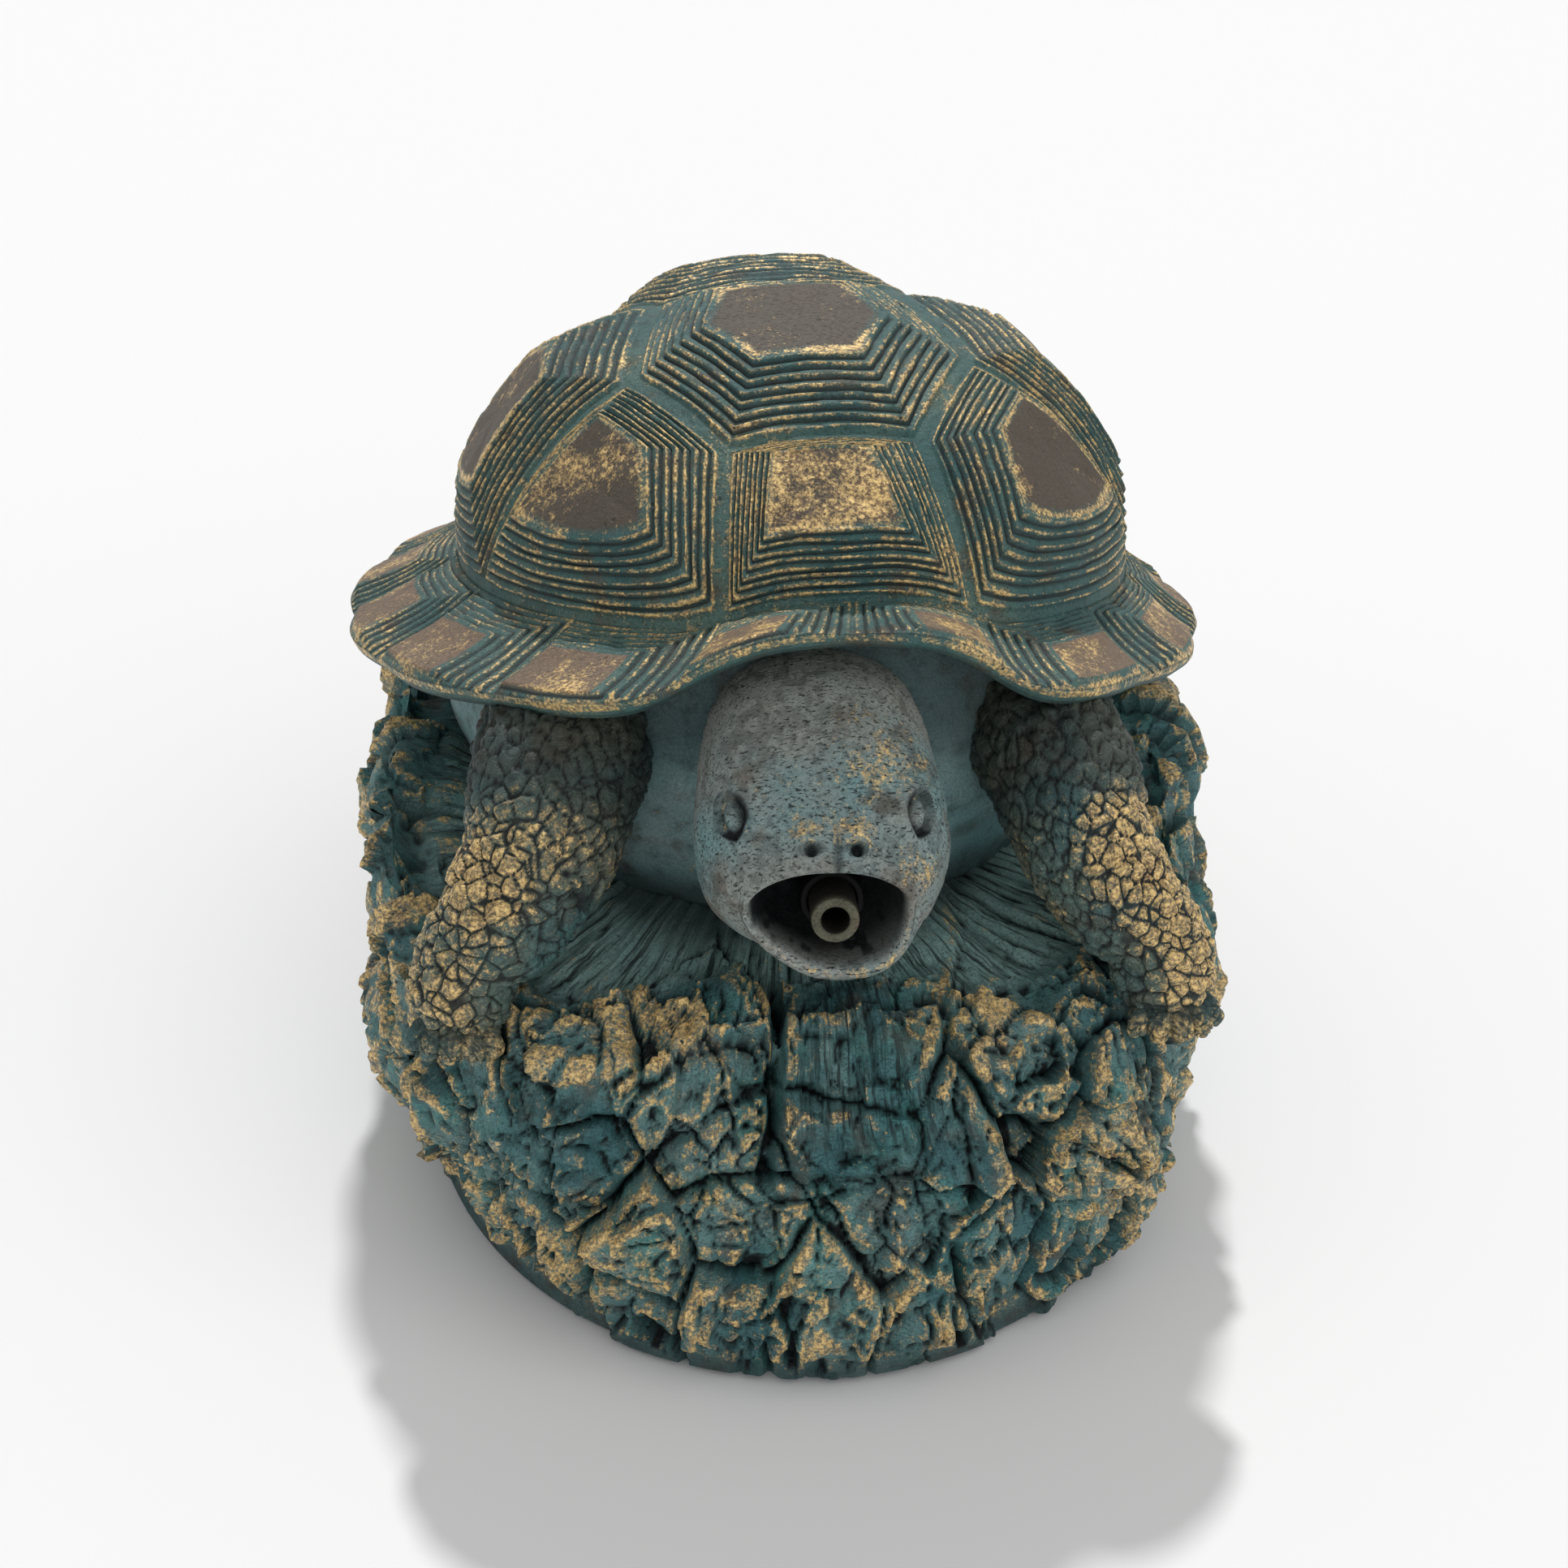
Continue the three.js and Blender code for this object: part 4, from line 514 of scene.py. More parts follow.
# Its plate colour, a pale teal, is the painted light on the ledge.
rock_paint = patina(
    "rock_patina", (70, 120, 124), (124, 162, 160), -0.14, (178, 216, 210), (6, 13, 16), pores=0.8, green=0.6,
    clouds=0.6, relief=0.0012,
)
finished(rock, rock_paint, "rock_patina", "rock_base")


# The dome and the rim of the shell, in a frame of their own. Belly and legs keep below them.
def turn_about(axis, angle):
    """Matrix of a turn by an angle in degrees about the axis 0, 1 or 2."""
    matrix = np.eye(3)
    first, second = (axis + 1) % 3, (axis + 2) % 3
    matrix[first, first] = matrix[second, second] = np.cos(radians(angle))
    matrix[second, first] = np.sin(radians(angle))
    matrix[first, second] = -matrix[second, first]
    return matrix


shell_place = (0, 21, 117.5)
shell_tilt = turn_about(2, 5) @ turn_about(1, 2.5) @ turn_about(0, -10)
shell_wall = 7.0
rim_lip = (-3, 3.6)
marginal_seams = np.array([0, 20, 45, 70, 90, 110, 130, 155, 180])


def in_place(points):
    """Tilts points of the shell's own frame nose up, rolls and turns them, and lifts them to their place."""
    return points @ shell_tilt.T + shell_place


def arch(angle):
    """How far the rim rises over the neck, 1 in front and fading to 0 some 28 degrees from it."""
    return bell(wrapped(angle) / 20, 3.6)


def forward(angle):
    """Square of the cosine of the angle from the front, and 0 behind."""
    return np.maximum(0, np.cos(np.radians(angle))) ** 2


def dome(u, v, lift=0.0, wall=0.0):
    """Dome over shares (u, v) of its sweep of 86 degrees: a squarish ellipsoid, less a wall, plus a lift."""
    sweep = radians(86)
    share = np.maximum(np.hypot(u, v), 1e-9)
    spread = (np.sin(share * sweep) / np.sin(sweep)) ** 0.9 / share
    low = np.cos(sweep) ** 0.9
    high = (np.cos(np.minimum(share, 1.04) * sweep) ** 0.9 - low) / (1 - low)
    half = np.array([84, 97, 78.5]) - wall
    point = half * stacked(spread * u, spread * v, high)
    return point + (4.5, 0, 0) + unit((point + (0, 0, 1)) / half**2) * np.asarray(lift)[..., None]


def dome_foot(angle, share=1.0):
    """Shares (u, v) of the dome's foot at an angle from the front, drawn in at the arch."""
    reach = share * (0.91 - 0.055 * arch(angle) - 0.05 * forward(angle))
    return reach * np.sin(np.radians(angle)), -reach * np.cos(np.radians(angle))


def across_marginal(angle):
    """Number of the marginal scute at an angle, and the share of the way across it from its front seam."""
    away = np.abs(wrapped(angle))
    number = np.clip(np.searchsorted(marginal_seams, away, side="right") - 1, 0, 7)
    first = marginal_seams[number]
    return number, (away - first) / (marginal_seams[number + 1] - first)


def rim_edge(angle, out=0.0, down=0.0):
    """Edge of the rim: an oval with a bulge for each marginal scute, raised in front and at the arch."""
    bulged = 2.2 * np.sin(np.pi * across_marginal(angle)[1]) + out - 2.2
    sine, cosine = np.sin(np.radians(angle)), np.cos(np.radians(angle))
    z = 16 * arch(angle) + 13 * forward(angle) - 2 - down
    return stacked((106 + bulged) * sine, -(119 + bulged) * cosine, z)


def rim_corner(angle, inset=0.0):
    """Inner corner of the rim's underside, below the inner face of the dome."""
    return dome(*dome_foot(angle), 0.0, shell_wall + inset) - (0, 0, 4)


# Belly: the resin tub under the shell, bonded to the rock. Only its blue skin shows, in folds round the neck
# and between the legs.
belly_angles = np.linspace(0, 360, 300, endpoint=False)
sine, cosine = np.sin(np.radians(belly_angles)), np.cos(np.radians(belly_angles))
oval = lambda wide, long, z: stacked(wide * sine, -long * cosine, z + 0 * sine)
clearance, belly_foot = 0.7, 79
corner = rim_corner(belly_angles, clearance)
keys = np.stack([
    dome(*dome_foot(belly_angles, 0.9), 0.0, shell_wall + clearance), corner,
    corner + 0.25 * (rim_edge(belly_angles, *rim_lip) - corner) - (0, 0, clearance),
    oval(83, 94, -15), oval(80, 91, -28), oval(64, 75, -58),
])
skin_rows = np.arange(90)[:, None]
skin = in_place(between(keys, np.linspace(0, 1, len(skin_rows))))
skin_out = -normals(skin)
folds = np.sin(skin[..., 2] / 2.2 + 2.5 * noise(skin, 30, 3) + 0.02 * skin[..., 0])
depth = 0.35 * folds * smooth(-40, -60, skin[..., 1]) + 1.4 * rough(skin, 22, 3, 4)
skin = skin + skin_out * (depth * smooth(40, 48, skin_rows))[..., None]
skin[..., 2] = np.maximum(skin[..., 2], belly_foot)
rises = bulge(skin, 3)
# Painted shade: the skin turns dark just under the rim and low down above the rock.
hidden = np.maximum(0.6 * smooth(55, 46, skin_rows), 0.65 * smooth(93, 84, skin[..., 2]))
hollow = np.maximum(0.7 * smooth(0.15, 0.7, -rises), hidden)
belly = solid("belly_skin", (skin, dict(edge=0.6 * smooth(0.1, 0.6, rises), hollow=hollow)))
skin_paint = patina("skin_patina", (120, 162, 166), (146, 174, 174), -0.2, pores=0.2, dashes=0.15, clouds=0.6)
finished(belly, skin_paint, "skin_patina", "turtle_body")

# Head: a resin casting bonded under the arch of the rim, matt and greyer than the rest. Its mouth is open
# round the spout, with slit eyes, two nostrils, and fine rings where the skin of the neck gathers. A section
# is given by its y and z, its half width, and its reach up and down.
sections = np.array([
    (-60, 118, 24.5, 31, 20), (-71, 120, 25.5, 30, 20), (-82, 122, 26, 27.5, 21), (-93, 122.5, 27, 23.5, 23),
    (-102, 120.5, 27.2, 20, 22.5), (-109, 118.7, 25, 16.5, 21.3), (-115, 118, 21.8, 11.5, 19.5),
    (-119.5, 117.7, 18.7, 9, 19.4),
])
mouth = np.array([
    (-120.3, 117.8, 17.9, 8.2, 18.2), (-119.4, 117.7, 16.6, 7.6, 16.0), (-115, 117, 15.4, 7, 14.4),
    (-108, 116, 13.5, 6, 12.5), (-102, 115, 10.5, 5, 8.5), (-99.5, 113.5, 6, 3, 5),
])
outer_rows, mouth_rows = 170, 60
past_lips = np.arange(-outer_rows, mouth_rows)[:, None]
ways = [between(sections, np.linspace(0, 1, outer_rows)), between(mouth, np.linspace(0, 1, mouth_rows))]
y, z, half, up, down = join(ways).T[..., None]
round_angles = np.linspace(-np.pi, np.pi, 260, endpoint=False)
bent = lambda value: np.sign(value) * np.abs(value) ** (2 / 2.3)
sideways, upward = bent(np.sin(round_angles)), bent(np.cos(round_angles))
head_middle = 5
jaw = smooth(0.1, 0.95, -upward) * smooth(-104, -117, y)
peaked = np.where(upward > 0, up * np.abs(upward) ** (1 + 0.45 * smooth(-112, -119, y)), down * upward)
x = head_middle + half * sideways * (1 - 0.14 * jaw) + 3.2 * jaw
face = stacked(x, y + 0 * x, z + peaked)
face_out = -normals(face)


def spot(x, y):
    """The point of the outer face nearest to (x, y), on its upper half."""
    far = np.hypot(face[:outer_rows, :, 0] - x, face[:outer_rows, :, 1] - y) + 100 * (upward < 0.05)
    return face[np.unravel_index(far.argmin(), far.shape)]


swell = 0.5 * rough(face, 16, 3, 70)
slit = np.zeros(face.shape[:2])
gilt = np.zeros(face.shape[:2])
for sign in (-1, 1):
    far = length(face[:outer_rows] - (5.6 + sign * 19.8, -106.3, 131))
    at = np.unravel_index(far.argmin(), far.shape)
    eye, eye_out = face[at], face_out[at]
    lengthwise = np.array([-sign * 0.4, -0.47, -0.79])
    lengthwise = unit(lengthwise - eye_out * (eye_out @ lengthwise))
    along = (face - eye) @ lengthwise / 5.4
    beside = (face - eye) @ (np.cross(lengthwise, eye_out) * sign) / 3.1
    lid = np.abs(beside) + along**2
    ball = np.clip(1 - (beside + 0.15) ** 2 - 0.8 * along**2, 0, 1)
    brow_line = bell((beside - 1.5 + 0.7 * along**2) / 0.45) * smooth(1.5, 0.7, np.abs(along))
    socket = near(face, eye, 10, 4)
    swell = swell + socket * (2.4 * ball - 3.2 * smooth(1.25, 0.85, lid) + brow_line)
    # Painted shade: a dark crescent in the fold round each eye, dark nostrils and a dark groove between them.
    fold = bell((lid - 0.95) / 0.3) * (0.35 + 0.8 * smooth(-0.5, 0.3, beside + along))
    slit = slit + socket * (1.3 * fold + 0.8 * smooth(0.2, 0.8, along) * smooth(1.1, 0.8, lid))
    nostril = spot(6.4 + sign * 4.6, -115.8)
    hole = near(face, nostril, 1.5, 4)
    slit = slit + hole
    mouth_corner = np.array([head_middle + sign * 18.5, -117.5, 113.5])
    notch = bell(length((face - mouth_corner) * (1, 0.6, 0.9)) / 3.6)
    swell = swell + 2.2 * near(face, nostril + (0, 2, 1), 4.0) - 3.2 * hole - 2.2 * notch
    gilt = gilt + 0.75 * near(face, nostril + (0, 3, 2), 4.0)
    gilt = gilt + (0.85 if sign > 0 else 0.15) * near(face, mouth_corner + (0, 3, 7), 7)
septum = bell((face[..., 0] - 7) / 0.9) * smooth(-112, -115, face[..., 1]) * (upward > 0)
slit = slit + 0.7 * septum
rings = np.sin(face[..., 1] * 5.2 + noise(face, 14, 77)) * smooth(-84, -72, face[..., 1])
scratches = smooth(0.1, 0.5, noise(face * (1, 0.45, 1), 1.3, 80) + 0.5 * noise(face, 9, 81))
swell = (swell - 0.7 * septum + 0.2 * rings - 0.25 * scratches) * smooth(2, -6, past_lips)
face = face + face_out * swell[..., None]
rises = bulge(face, 2)
# Painted shade inside the open mouth, a little lighter on the lower jaw near the lips.
throat = 0.97 * smooth(8, 22, past_lips)
throat = throat * (1 - 0.35 * smooth(-0.2, -0.8, upward) * smooth(35, 20, past_lips))
hollow = np.clip(0.3 * scratches + 0.6 * smooth(0.15, 0.6, -rises) + 0.95 * slit + throat, 0, 1)
gilt = gilt + 0.8 * bell((past_lips - 4) / 7) * smooth(0, -0.6, upward)
for place, size in (((17, -90, 145), 12), ((-13, -99, 140), 9), ((8, -98, 142), 18), ((21, -100, 136), 8)):
    gilt = gilt + 0.28 * near(face, place, size)
# Painted light: the top of the neck, under the rim, takes the pale plate colour.
pale = 0.8 * smooth(-96, -74, face[..., 1])
marks = dict(edge=0.7 * smooth(0.05, 0.4, rises), hollow=hollow, gilt=gilt, plate=pale)
head = solid("head_casting", (face, marks))
# Its plate colour, a pale grey, is the painted light on the neck.
head_paint = patina(
    "head_patina", (160, 164, 158), (126, 162, 164), -0.14, (214, 214, 204), (9, 18, 20), pores=0.35,
    dashes=0.95, clouds=0.12,
)
finished(head, head_paint, "head_patina", "head")

# Legs: four resin castings bonded between belly and rock, covered in cracked scales. The front pair comes
# forward and down to the rock, and ends in blunt toes.
front_path = [
    (50, -45, 124), (56, -68, 120), (60, -83, 110), (68, -92, 99), (75, -94.5, 90.5), (78, -95.5, 80),
]
front_radii = np.array([22, 20, 17, 14, 11.5, 11.5])
hind_path = [(48, 44, 106), (62, 55, 101), (72, 62, 94), (77, 66, 88.2)]
hind_radii = np.array([17, 15, 12.5, 11])
scale_paint = patina("scale_patina", (74, 114, 114), (120, 126, 108), 0.0, cracks=0.3, dashes=0.4)


def spokes(first, second, count):
    """Vectors of a full turn in equal steps, from the first of two square vectors towards the second."""
    lon = np.linspace(0, 2 * np.pi, count, endpoint=False)[:, None]
    return np.cos(lon) * first + np.sin(lon) * second


def spokes_round(ahead, count):
    """Spokes square to each direction of a path, from its side at +X."""
    beside = unit(np.array([1, 0, 0]) - ahead * ahead[:, :1])
    return spokes(beside[:, None], np.cross(ahead, beside)[:, None], count)


def ellipsoid(centre, axes, rows, columns):
    """Looped grid of an ellipsoid with three half axes, the first one from pole to pole."""
    lat = np.linspace(0.12, np.pi - 0.12, rows)[:, None, None]
    return centre + np.cos(lat) * axes[0] + np.sin(lat) * spokes(axes[1], axes[2], columns)


def under_rim(points):
    """Presses points that would come through the shell down to just below the underside of the rim."""
    local = (points - shell_place) @ shell_tilt
    angle = np.degrees(np.arctan2(local[..., 0], -local[..., 1]))
    edge, corner = rim_edge(angle, *rim_lip), rim_corner(angle)
    reach, outer, inner = (np.hypot(p[..., 0], p[..., 1]) for p in (local, edge, corner))
    share = np.clip((outer - reach) / (outer - inner), 0, 1)
    roof = edge[..., 2] + (corner[..., 2] - edge[..., 2]) * share - 0.5
    local[..., 2] = np.minimum(local[..., 2], np.where(reach > outer, np.inf, roof))
    return in_place(local)


def leg(name, path, radii, side, heading, rows=190, columns=230, paw_rows=24):
    """A tapered limb along a Catmull-Rom path that rounds off at the paw, with scales from cell noise and
    five toes that spread about a heading."""
    path = np.array(path) * (side, 1, 1) + (rock_middle, 0, 0)
    shares = join([np.linspace(0, 1, rows - paw_rows, endpoint=False), np.ones(paw_rows)])
    step = 0.01
    next_shares = np.minimum(shares + step, 1)
    ahead = unit(between(path, next_shares) - between(path, next_shares - step))
    quarter = join([np.zeros(rows - paw_rows), np.linspace(0, np.pi / 2 - 0.08, paw_rows)])
    thick = between(radii, shares)
    centre = between(path, shares) + ahead * (0.75 * thick * np.sin(quarter))[:, None]
    around = spokes_round(ahead, columns)
    limb = centre[:, None] + (thick * np.cos(quarter))[:, None, None] * around
    out = normals(limb)
    out = out * np.sign(dot(out, around))[..., None]
    _, gap, chosen = cells(limb + 0.9 * shaken(limb, 5, 92), 4.2, 91)
    top = 1 - bell(gap / 0.6)
    scale = 0.85 * top + 0.6 * (chosen - 0.5) + 1.2 * noise(limb, 22, 93) + 0.6 * rough(limb, 2.6, 2, 94)
    limb = under_rim(limb + out * (scale - 0.9)[..., None])
    rises = bulge(limb, 2)
    edge = 0.3 * smooth(0.05, 0.45, rises) + 0.3 * top - 0.15
    hollow = np.clip(0.5 * smooth(0.1, 0.55, -rises) + 0.85 * smooth(0.5, 0.12, gap), 0, 1)
    # Painted shade: the upper part of each leg, under the rim, turns dark.
    hollow = np.maximum(hollow, 0.6 * smooth(0.46, 0.26, shares)[:, None])
    worn_side = out[..., 0] * side * 0.6 + out[..., 2] * 0.55 - out[..., 1] * 0.35
    # Gold is dry-brushed on faces turned out and up. The legs on the +X side, right of the view, take more of
    # it: painted light for the light from that side.
    gilt = (0.98 + 0.32 * side) * smooth(-0.1, 0.75, worn_side) * smooth(0.25, 0.5, shares)[:, None]
    castings = [(limb, dict(edge=edge, hollow=hollow, gilt=gilt - 0.05))]
    paw, reach = path[-1], radii[-1]
    for angle in np.radians(heading + 25 * np.arange(-2, 3)):
        toe_out = unit(np.array([side * np.sin(angle), -np.cos(angle), -0.62]))
        cross = unit(np.cross(toe_out, (0, 0, 1)))
        axes = np.array([toe_out * 6, cross * 3.5, np.cross(toe_out, cross) * 3.7])
        toe = ellipsoid(paw + toe_out * reach * 0.9, axes, 26, 30)
        toe_gap = cells(toe, 3.2, 96)[1]
        swollen = 0.09 * noise(toe, 4, 95) - 0.14 * bell(toe_gap / 0.5)
        toe = toe + (toe - toe.mean(axis=(0, 1))) * swollen[..., None]
        tip = smooth(-2, 6, (toe - paw) @ toe_out - reach)
        hollow = np.maximum(0.5 * (1 - tip), 0.7 * smooth(0.5, 0.1, toe_gap))
        castings.append((toe, dict(edge=0.5 + 0 * tip, hollow=hollow, gilt=0.25 * tip)))
    return solid(name, *castings)


for side, word in ((1, "left"), (-1, "right")):
    slimmer = (4, 3, 1, 0, 0, 0) if side > 0 else 0
    front_leg = leg("front_leg_scales_" + word, front_path, front_radii - slimmer, side, 12)
    finished(front_leg, scale_paint, "scale_patina", "front_leg_" + word)
    hind_leg = leg("hind_leg_scales_" + word, hind_path, hind_radii, side, 80, 90, 110)
    finished(hind_leg, scale_paint, "scale_patina", "hind_leg_" + word)

# Shell: a resin dome of thirteen scutes, bonded over the belly. Each scute is a stack of growth rings that
# shrinks to a smooth brown plate, carved by hand, so the rings waver and their lips are chipped.
shell_colours = ((66, 108, 106), (94, 124, 116))
shell_paint = patina("shell_patina", *shell_colours, 0.0, dashes=0.3)


def seam(start, stop):
    """Points from one corner to another without the last, a little over a millimetre apart. They are set out
    from the lesser corner, so both neighbours of a seam get the same points."""
    flip = tuple(start) > tuple(stop)
    a, b = (np.array(stop), np.array(start)) if flip else (np.array(start), np.array(stop))
    count = max(2, round(float(length(b - a)) / 0.012))
    line = a + (b - a) * np.linspace(0, 1, count + 1)[:, None]
    return (line[::-1] if flip else line)[:-1]


def chain(*corners):
    return [seam(a, b) for a, b in zip(corners[:-1], corners[1:])]


def foot_arc(start, stop):
    """Points of the dome's foot from one angle to another without the last, one for each degree."""
    return stacked(*dome_foot(np.arange(start, stop, 1.0)))


def steps_up(share, count):
    """Heights from 0 to 1 of a stack of steps: each has a narrow groove at its foot, a steep riser, a raised
    lip and a tread that sinks a little. Also says how near each place is to a lip, and to a groove."""
    place = np.clip(share, 0, 1) * count
    step = np.floor(place)
    within = place - step
    lip = bell((within - 0.38) / 0.16) * (place < count)
    groove = bell(within / 0.19) * (place > 0.5) + bell((1 - within) / 0.1) * (place < count - 0.5)
    height = (step + smooth(0.02, 0.3, within) + 0.55 * lip - 0.8 * groove * (place < count)) / count
    return height, lip, np.minimum(groove, 1) * (place < count)


def on_dome(uv, lift=0.0):
    """Dome over (u, v), with the scutes set off the middle by a share that fades from the top to the foot."""
    u, v = uv[..., 0], uv[..., 1]
    reach = np.hypot(*dome_foot(np.degrees(np.arctan2(u, -v))))
    above = np.maximum(0, 1 - (np.hypot(u, v) / reach) ** 2)
    return dome(u - 0.045 * above, v, lift)


def scute(outline, focus, gilt, count=8, plate=0.45, rise=5.4, band=0.1):
    """Rings from the outline in to the focus, inside a plain band along the seam. A place on the dome is
    lifted by the height of the steps there. Gives the grid and its marks: edge, painted shade in the grooves,
    plate and gilt."""
    ring_rows = 6 * count + 1
    shares = 1 - (1 - plate) * np.linspace(0, 1, ring_rows)
    shares = join([shares, plate * np.array([0.9, 0.75, 0.55, 0.3, 0.1])])[:, None]
    inward = (1 - shares) / (1 - plate)
    stepped = (inward - band) / (1 - band)
    step = np.floor(np.clip(stepped, 0, 1) * count + 0.3)
    apart = on_dome(outline) + step[..., None] * (37, 11, 53)
    waver = 0.005 * noise(apart, 7, 110) + 0.014 * noise(apart, 26, 112)
    waver = waver * smooth(0, 0.12, inward) * smooth(0, 0.3, shares)
    uv = focus + (shares + waver)[..., None] * (outline - focus)
    height, lip, groove = steps_up(stepped, count)
    chips = smooth(0.1, 0.7, noise(apart, 5, 114)) * lip
    bare = on_dome(uv)
    lift = rise * height - 0.45 * chips + 0.25 * rough(bare, 9, 3, 116) * smooth(0, 0.1, inward)
    on_plate = smooth(0.98, 1.06, inward) + 0 * lift
    border = bell((inward - 1.0) / 0.04) * (0.35 + 0.65 * smooth(-0.5, 0.5, noise(bare, 16, 119)))
    edge = (lip - 0.6 * chips) * (1 - on_plate) + 1.2 * border
    grid = on_dome(uv, lift)
    brim = grid[ring_rows]
    flat = 0.75 * brim.mean(axis=0) + 0.25 * grid[-1].mean(axis=0)
    grid[ring_rows:] = flat + (brim - flat) * (shares[ring_rows:] / shares[ring_rows])[..., None]
    patches = smooth(0.1, 0.6, noise(bare, 9, 118)) * on_plate
    # The grooves under the lips of the rings get painted shade.
    return grid, edge, groove * (1 - on_plate), on_plate, gilt * (0.35 + 0.65 * on_plate) + 0.4 * patches


def mirror(*points):
    """Points on the other side of the middle, in the opposite order."""
    return [(-u, v) for u, v in points[::-1]]


# Corners of the seams in shares of the dome's sweep: beside the middle row, between the middle row and the
# costal scutes, and on the foot at angles from the front
s1, s2, s3, s4 = (0.185, -0.5), (0.2, 0.0), (0.2, 0.44), (0.19, 0.76)
p2, p3, p4 = (0.31, -0.25), (0.33, 0.22), (0.3, 0.6)
costal_feet = [20, 70, 105, 135, 160]
feet = [tuple(float(v) for v in dome_foot(np.array(float(angle)))) for angle in costal_feet]
hexagon = lambda a, b, c: chain(*mirror(a), a, b, c, *mirror(a, b, c))
scutes = [
    ([foot_arc(-20, 20)] + chain(feet[0], s1, *mirror(feet[0], s1)), (-0.035, -0.59), 0.72),
    (hexagon(s1, p2, s2), (0, -0.2), 0.05),
    (hexagon(s2, p3, s3), (0, 0.25), 0.0),
    (hexagon(s3, p4, s4), (0, 0.61), 0.0),
    (chain(*mirror(s4), s4, feet[4]) + [foot_arc(160, 200)] + chain(*mirror(s4, feet[4])), (0, 0.84), 0.0),
]
costals = [
    ((feet[1], p2, s1, feet[0]), (0.45, -0.42), 0.08, 0.15),
    ((feet[2], p3, s2, p2, feet[1]), (0.6, 0.0), 0.0, 0.0),
    ((feet[3], p4, s3, p3, feet[2]), (0.56, 0.42), 0.0, 0.0),
    ((feet[4], s4, p4, feet[3]), (0.43, 0.69), 0.0, 0.0),
]
for start, stop, (corners, focus, gilt, right_gilt) in zip(costal_feet[:-1], costal_feet[1:], costals):
    scutes.append(([foot_arc(start, stop)] + chain(*corners), focus, gilt))
    right = [foot_arc(360 - stop, 360 - start)] + chain(*mirror(*corners))
    scutes.append((right, *mirror(focus), right_gilt))

sheets = [scute(join(outline), np.array(focus), gilt) for outline, focus, gilt in scutes]
under_angles = np.arange(359, -1, -1.0)
under = [dome(*dome_foot(under_angles)), rim_corner(under_angles)]
for share in (0.9, 0.75, 0.6, 0.45, 0.3, 0.15):
    under.append(dome(*dome_foot(under_angles, share), 0.0, shell_wall))
sheets.append((np.stack(under), *np.zeros((4, len(under), len(under_angles)))))
points, quads, triangles, marks, start = [], [], [], [], 0
for grid, *kept in sheets:
    rows, columns = grid.shape[:2]
    points += [grid.reshape(-1, 3), grid[-1:].mean(axis=1)]
    quads.append(loop_quads(rows, columns) + start)
    tip = start + rows * columns
    triangles.append(fan(np.arange(tip - columns, tip), tip))
    marks.append([np.append(mark, mark[-1, 0]) for mark in kept])
    start = tip + 1
points = join(points)
_, kept, same = np.unique(np.round(points, 4), axis=0, return_index=True, return_inverse=True)
same = same.ravel()
edge, hollow, plate, gilt = join(marks, axis=1)[:, kept]
faces = same[join(quads)], same[join(triangles)]
shell = piece("shell_dome", in_place(points[kept]), *faces, edge=edge, hollow=hollow, plate=plate, gilt=gilt)
finished(shell, shell_paint, "shell_patina", "carapace")

# Rim: the flared edge of the same casting, of sixteen marginal scutes. Their growth rings lie on the front
# and inner sides of a brown plate that reaches out to the edge.
rim_angles = join([np.arange(-104, 104, 0.26), np.arange(104, 256, 0.6)])
number, sideways = across_marginal(rim_angles)
span = (marginal_seams[number + 1] - marginal_seams[number]) * 1.85
upper_rows = 56
widths = np.linspace(0, 1, upper_rows)[:, None]
inner_edge = dome(*dome_foot(rim_angles))
outer_edge = rim_edge(rim_angles)
upper = inner_edge + (outer_edge - inner_edge) * widths[..., None]
upper = upper - (0, 0, 1.5) * np.sin(np.pi * widths)[..., None]
breadth = length(outer_edge - inner_edge)
apart = upper + (number * 41.0)[None, :, None]
waver = 0.6 * noise(apart, 14, 120) + 0.2 * noise(apart, 5, 121)
from_seam = sideways * span + waver * smooth(0, 4, sideways * span)
from_dome = widths * breadth + waver
inward = np.minimum(from_seam / (0.44 * span), from_dome / (0.42 * breadth))
inward = np.minimum(inward, (1 - sideways) * span / 2.0)
inward = np.minimum(inward, ((1 - widths) * breadth + 0.8) / 2.2)
height, lip, groove = steps_up(inward, 6)
chips = smooth(0.1, 0.7, noise(apart, 5, 122)) * lip
on_plate = smooth(0.97, 1.0, inward)
lift = 2.6 * height - 0.35 * chips + 0.25 * rough(upper, 9, 3, 123)
lift = lift * smooth(0, 0.03, widths) * (0.45 + 0.55 * smooth(1.0, 0.93, widths))
upper = upper + (0, 0, 1) * lift[..., None]
curl = np.linspace(0, 1, 10)[1:, None]
edge_rows = upper[-1] + (rim_edge(rim_angles, *rim_lip) - upper[-1]) * curl[..., None]
swelling = (0.6 + 0.6 * noise(edge_rows, 6, 124)) * np.sin(np.pi * curl)
edge_rows = edge_rows + unit(outer_edge * (1, 1, 0)) * swelling[..., None]
low_edge, low_corner = edge_rows[-1], rim_corner(rim_angles)
lower_rows = [low_edge + (low_corner - low_edge) * t for t in (0.15, 0.4, 0.7, 1.0)]
lower_rows += [low_corner + (upper[0] - low_corner) * t for t in (0.4, 0.75)]
rim_grid = join([upper, edge_rows, np.stack(lower_rows)])
blank = np.zeros((len(rim_grid) - upper_rows, len(rim_angles)))
edge = join([(0.75 * lip - 0.5 * chips) * (1 - on_plate) + 0.35 * smooth(0.9, 1, widths), blank])
edge[upper_rows : upper_rows + 4] = 0.7
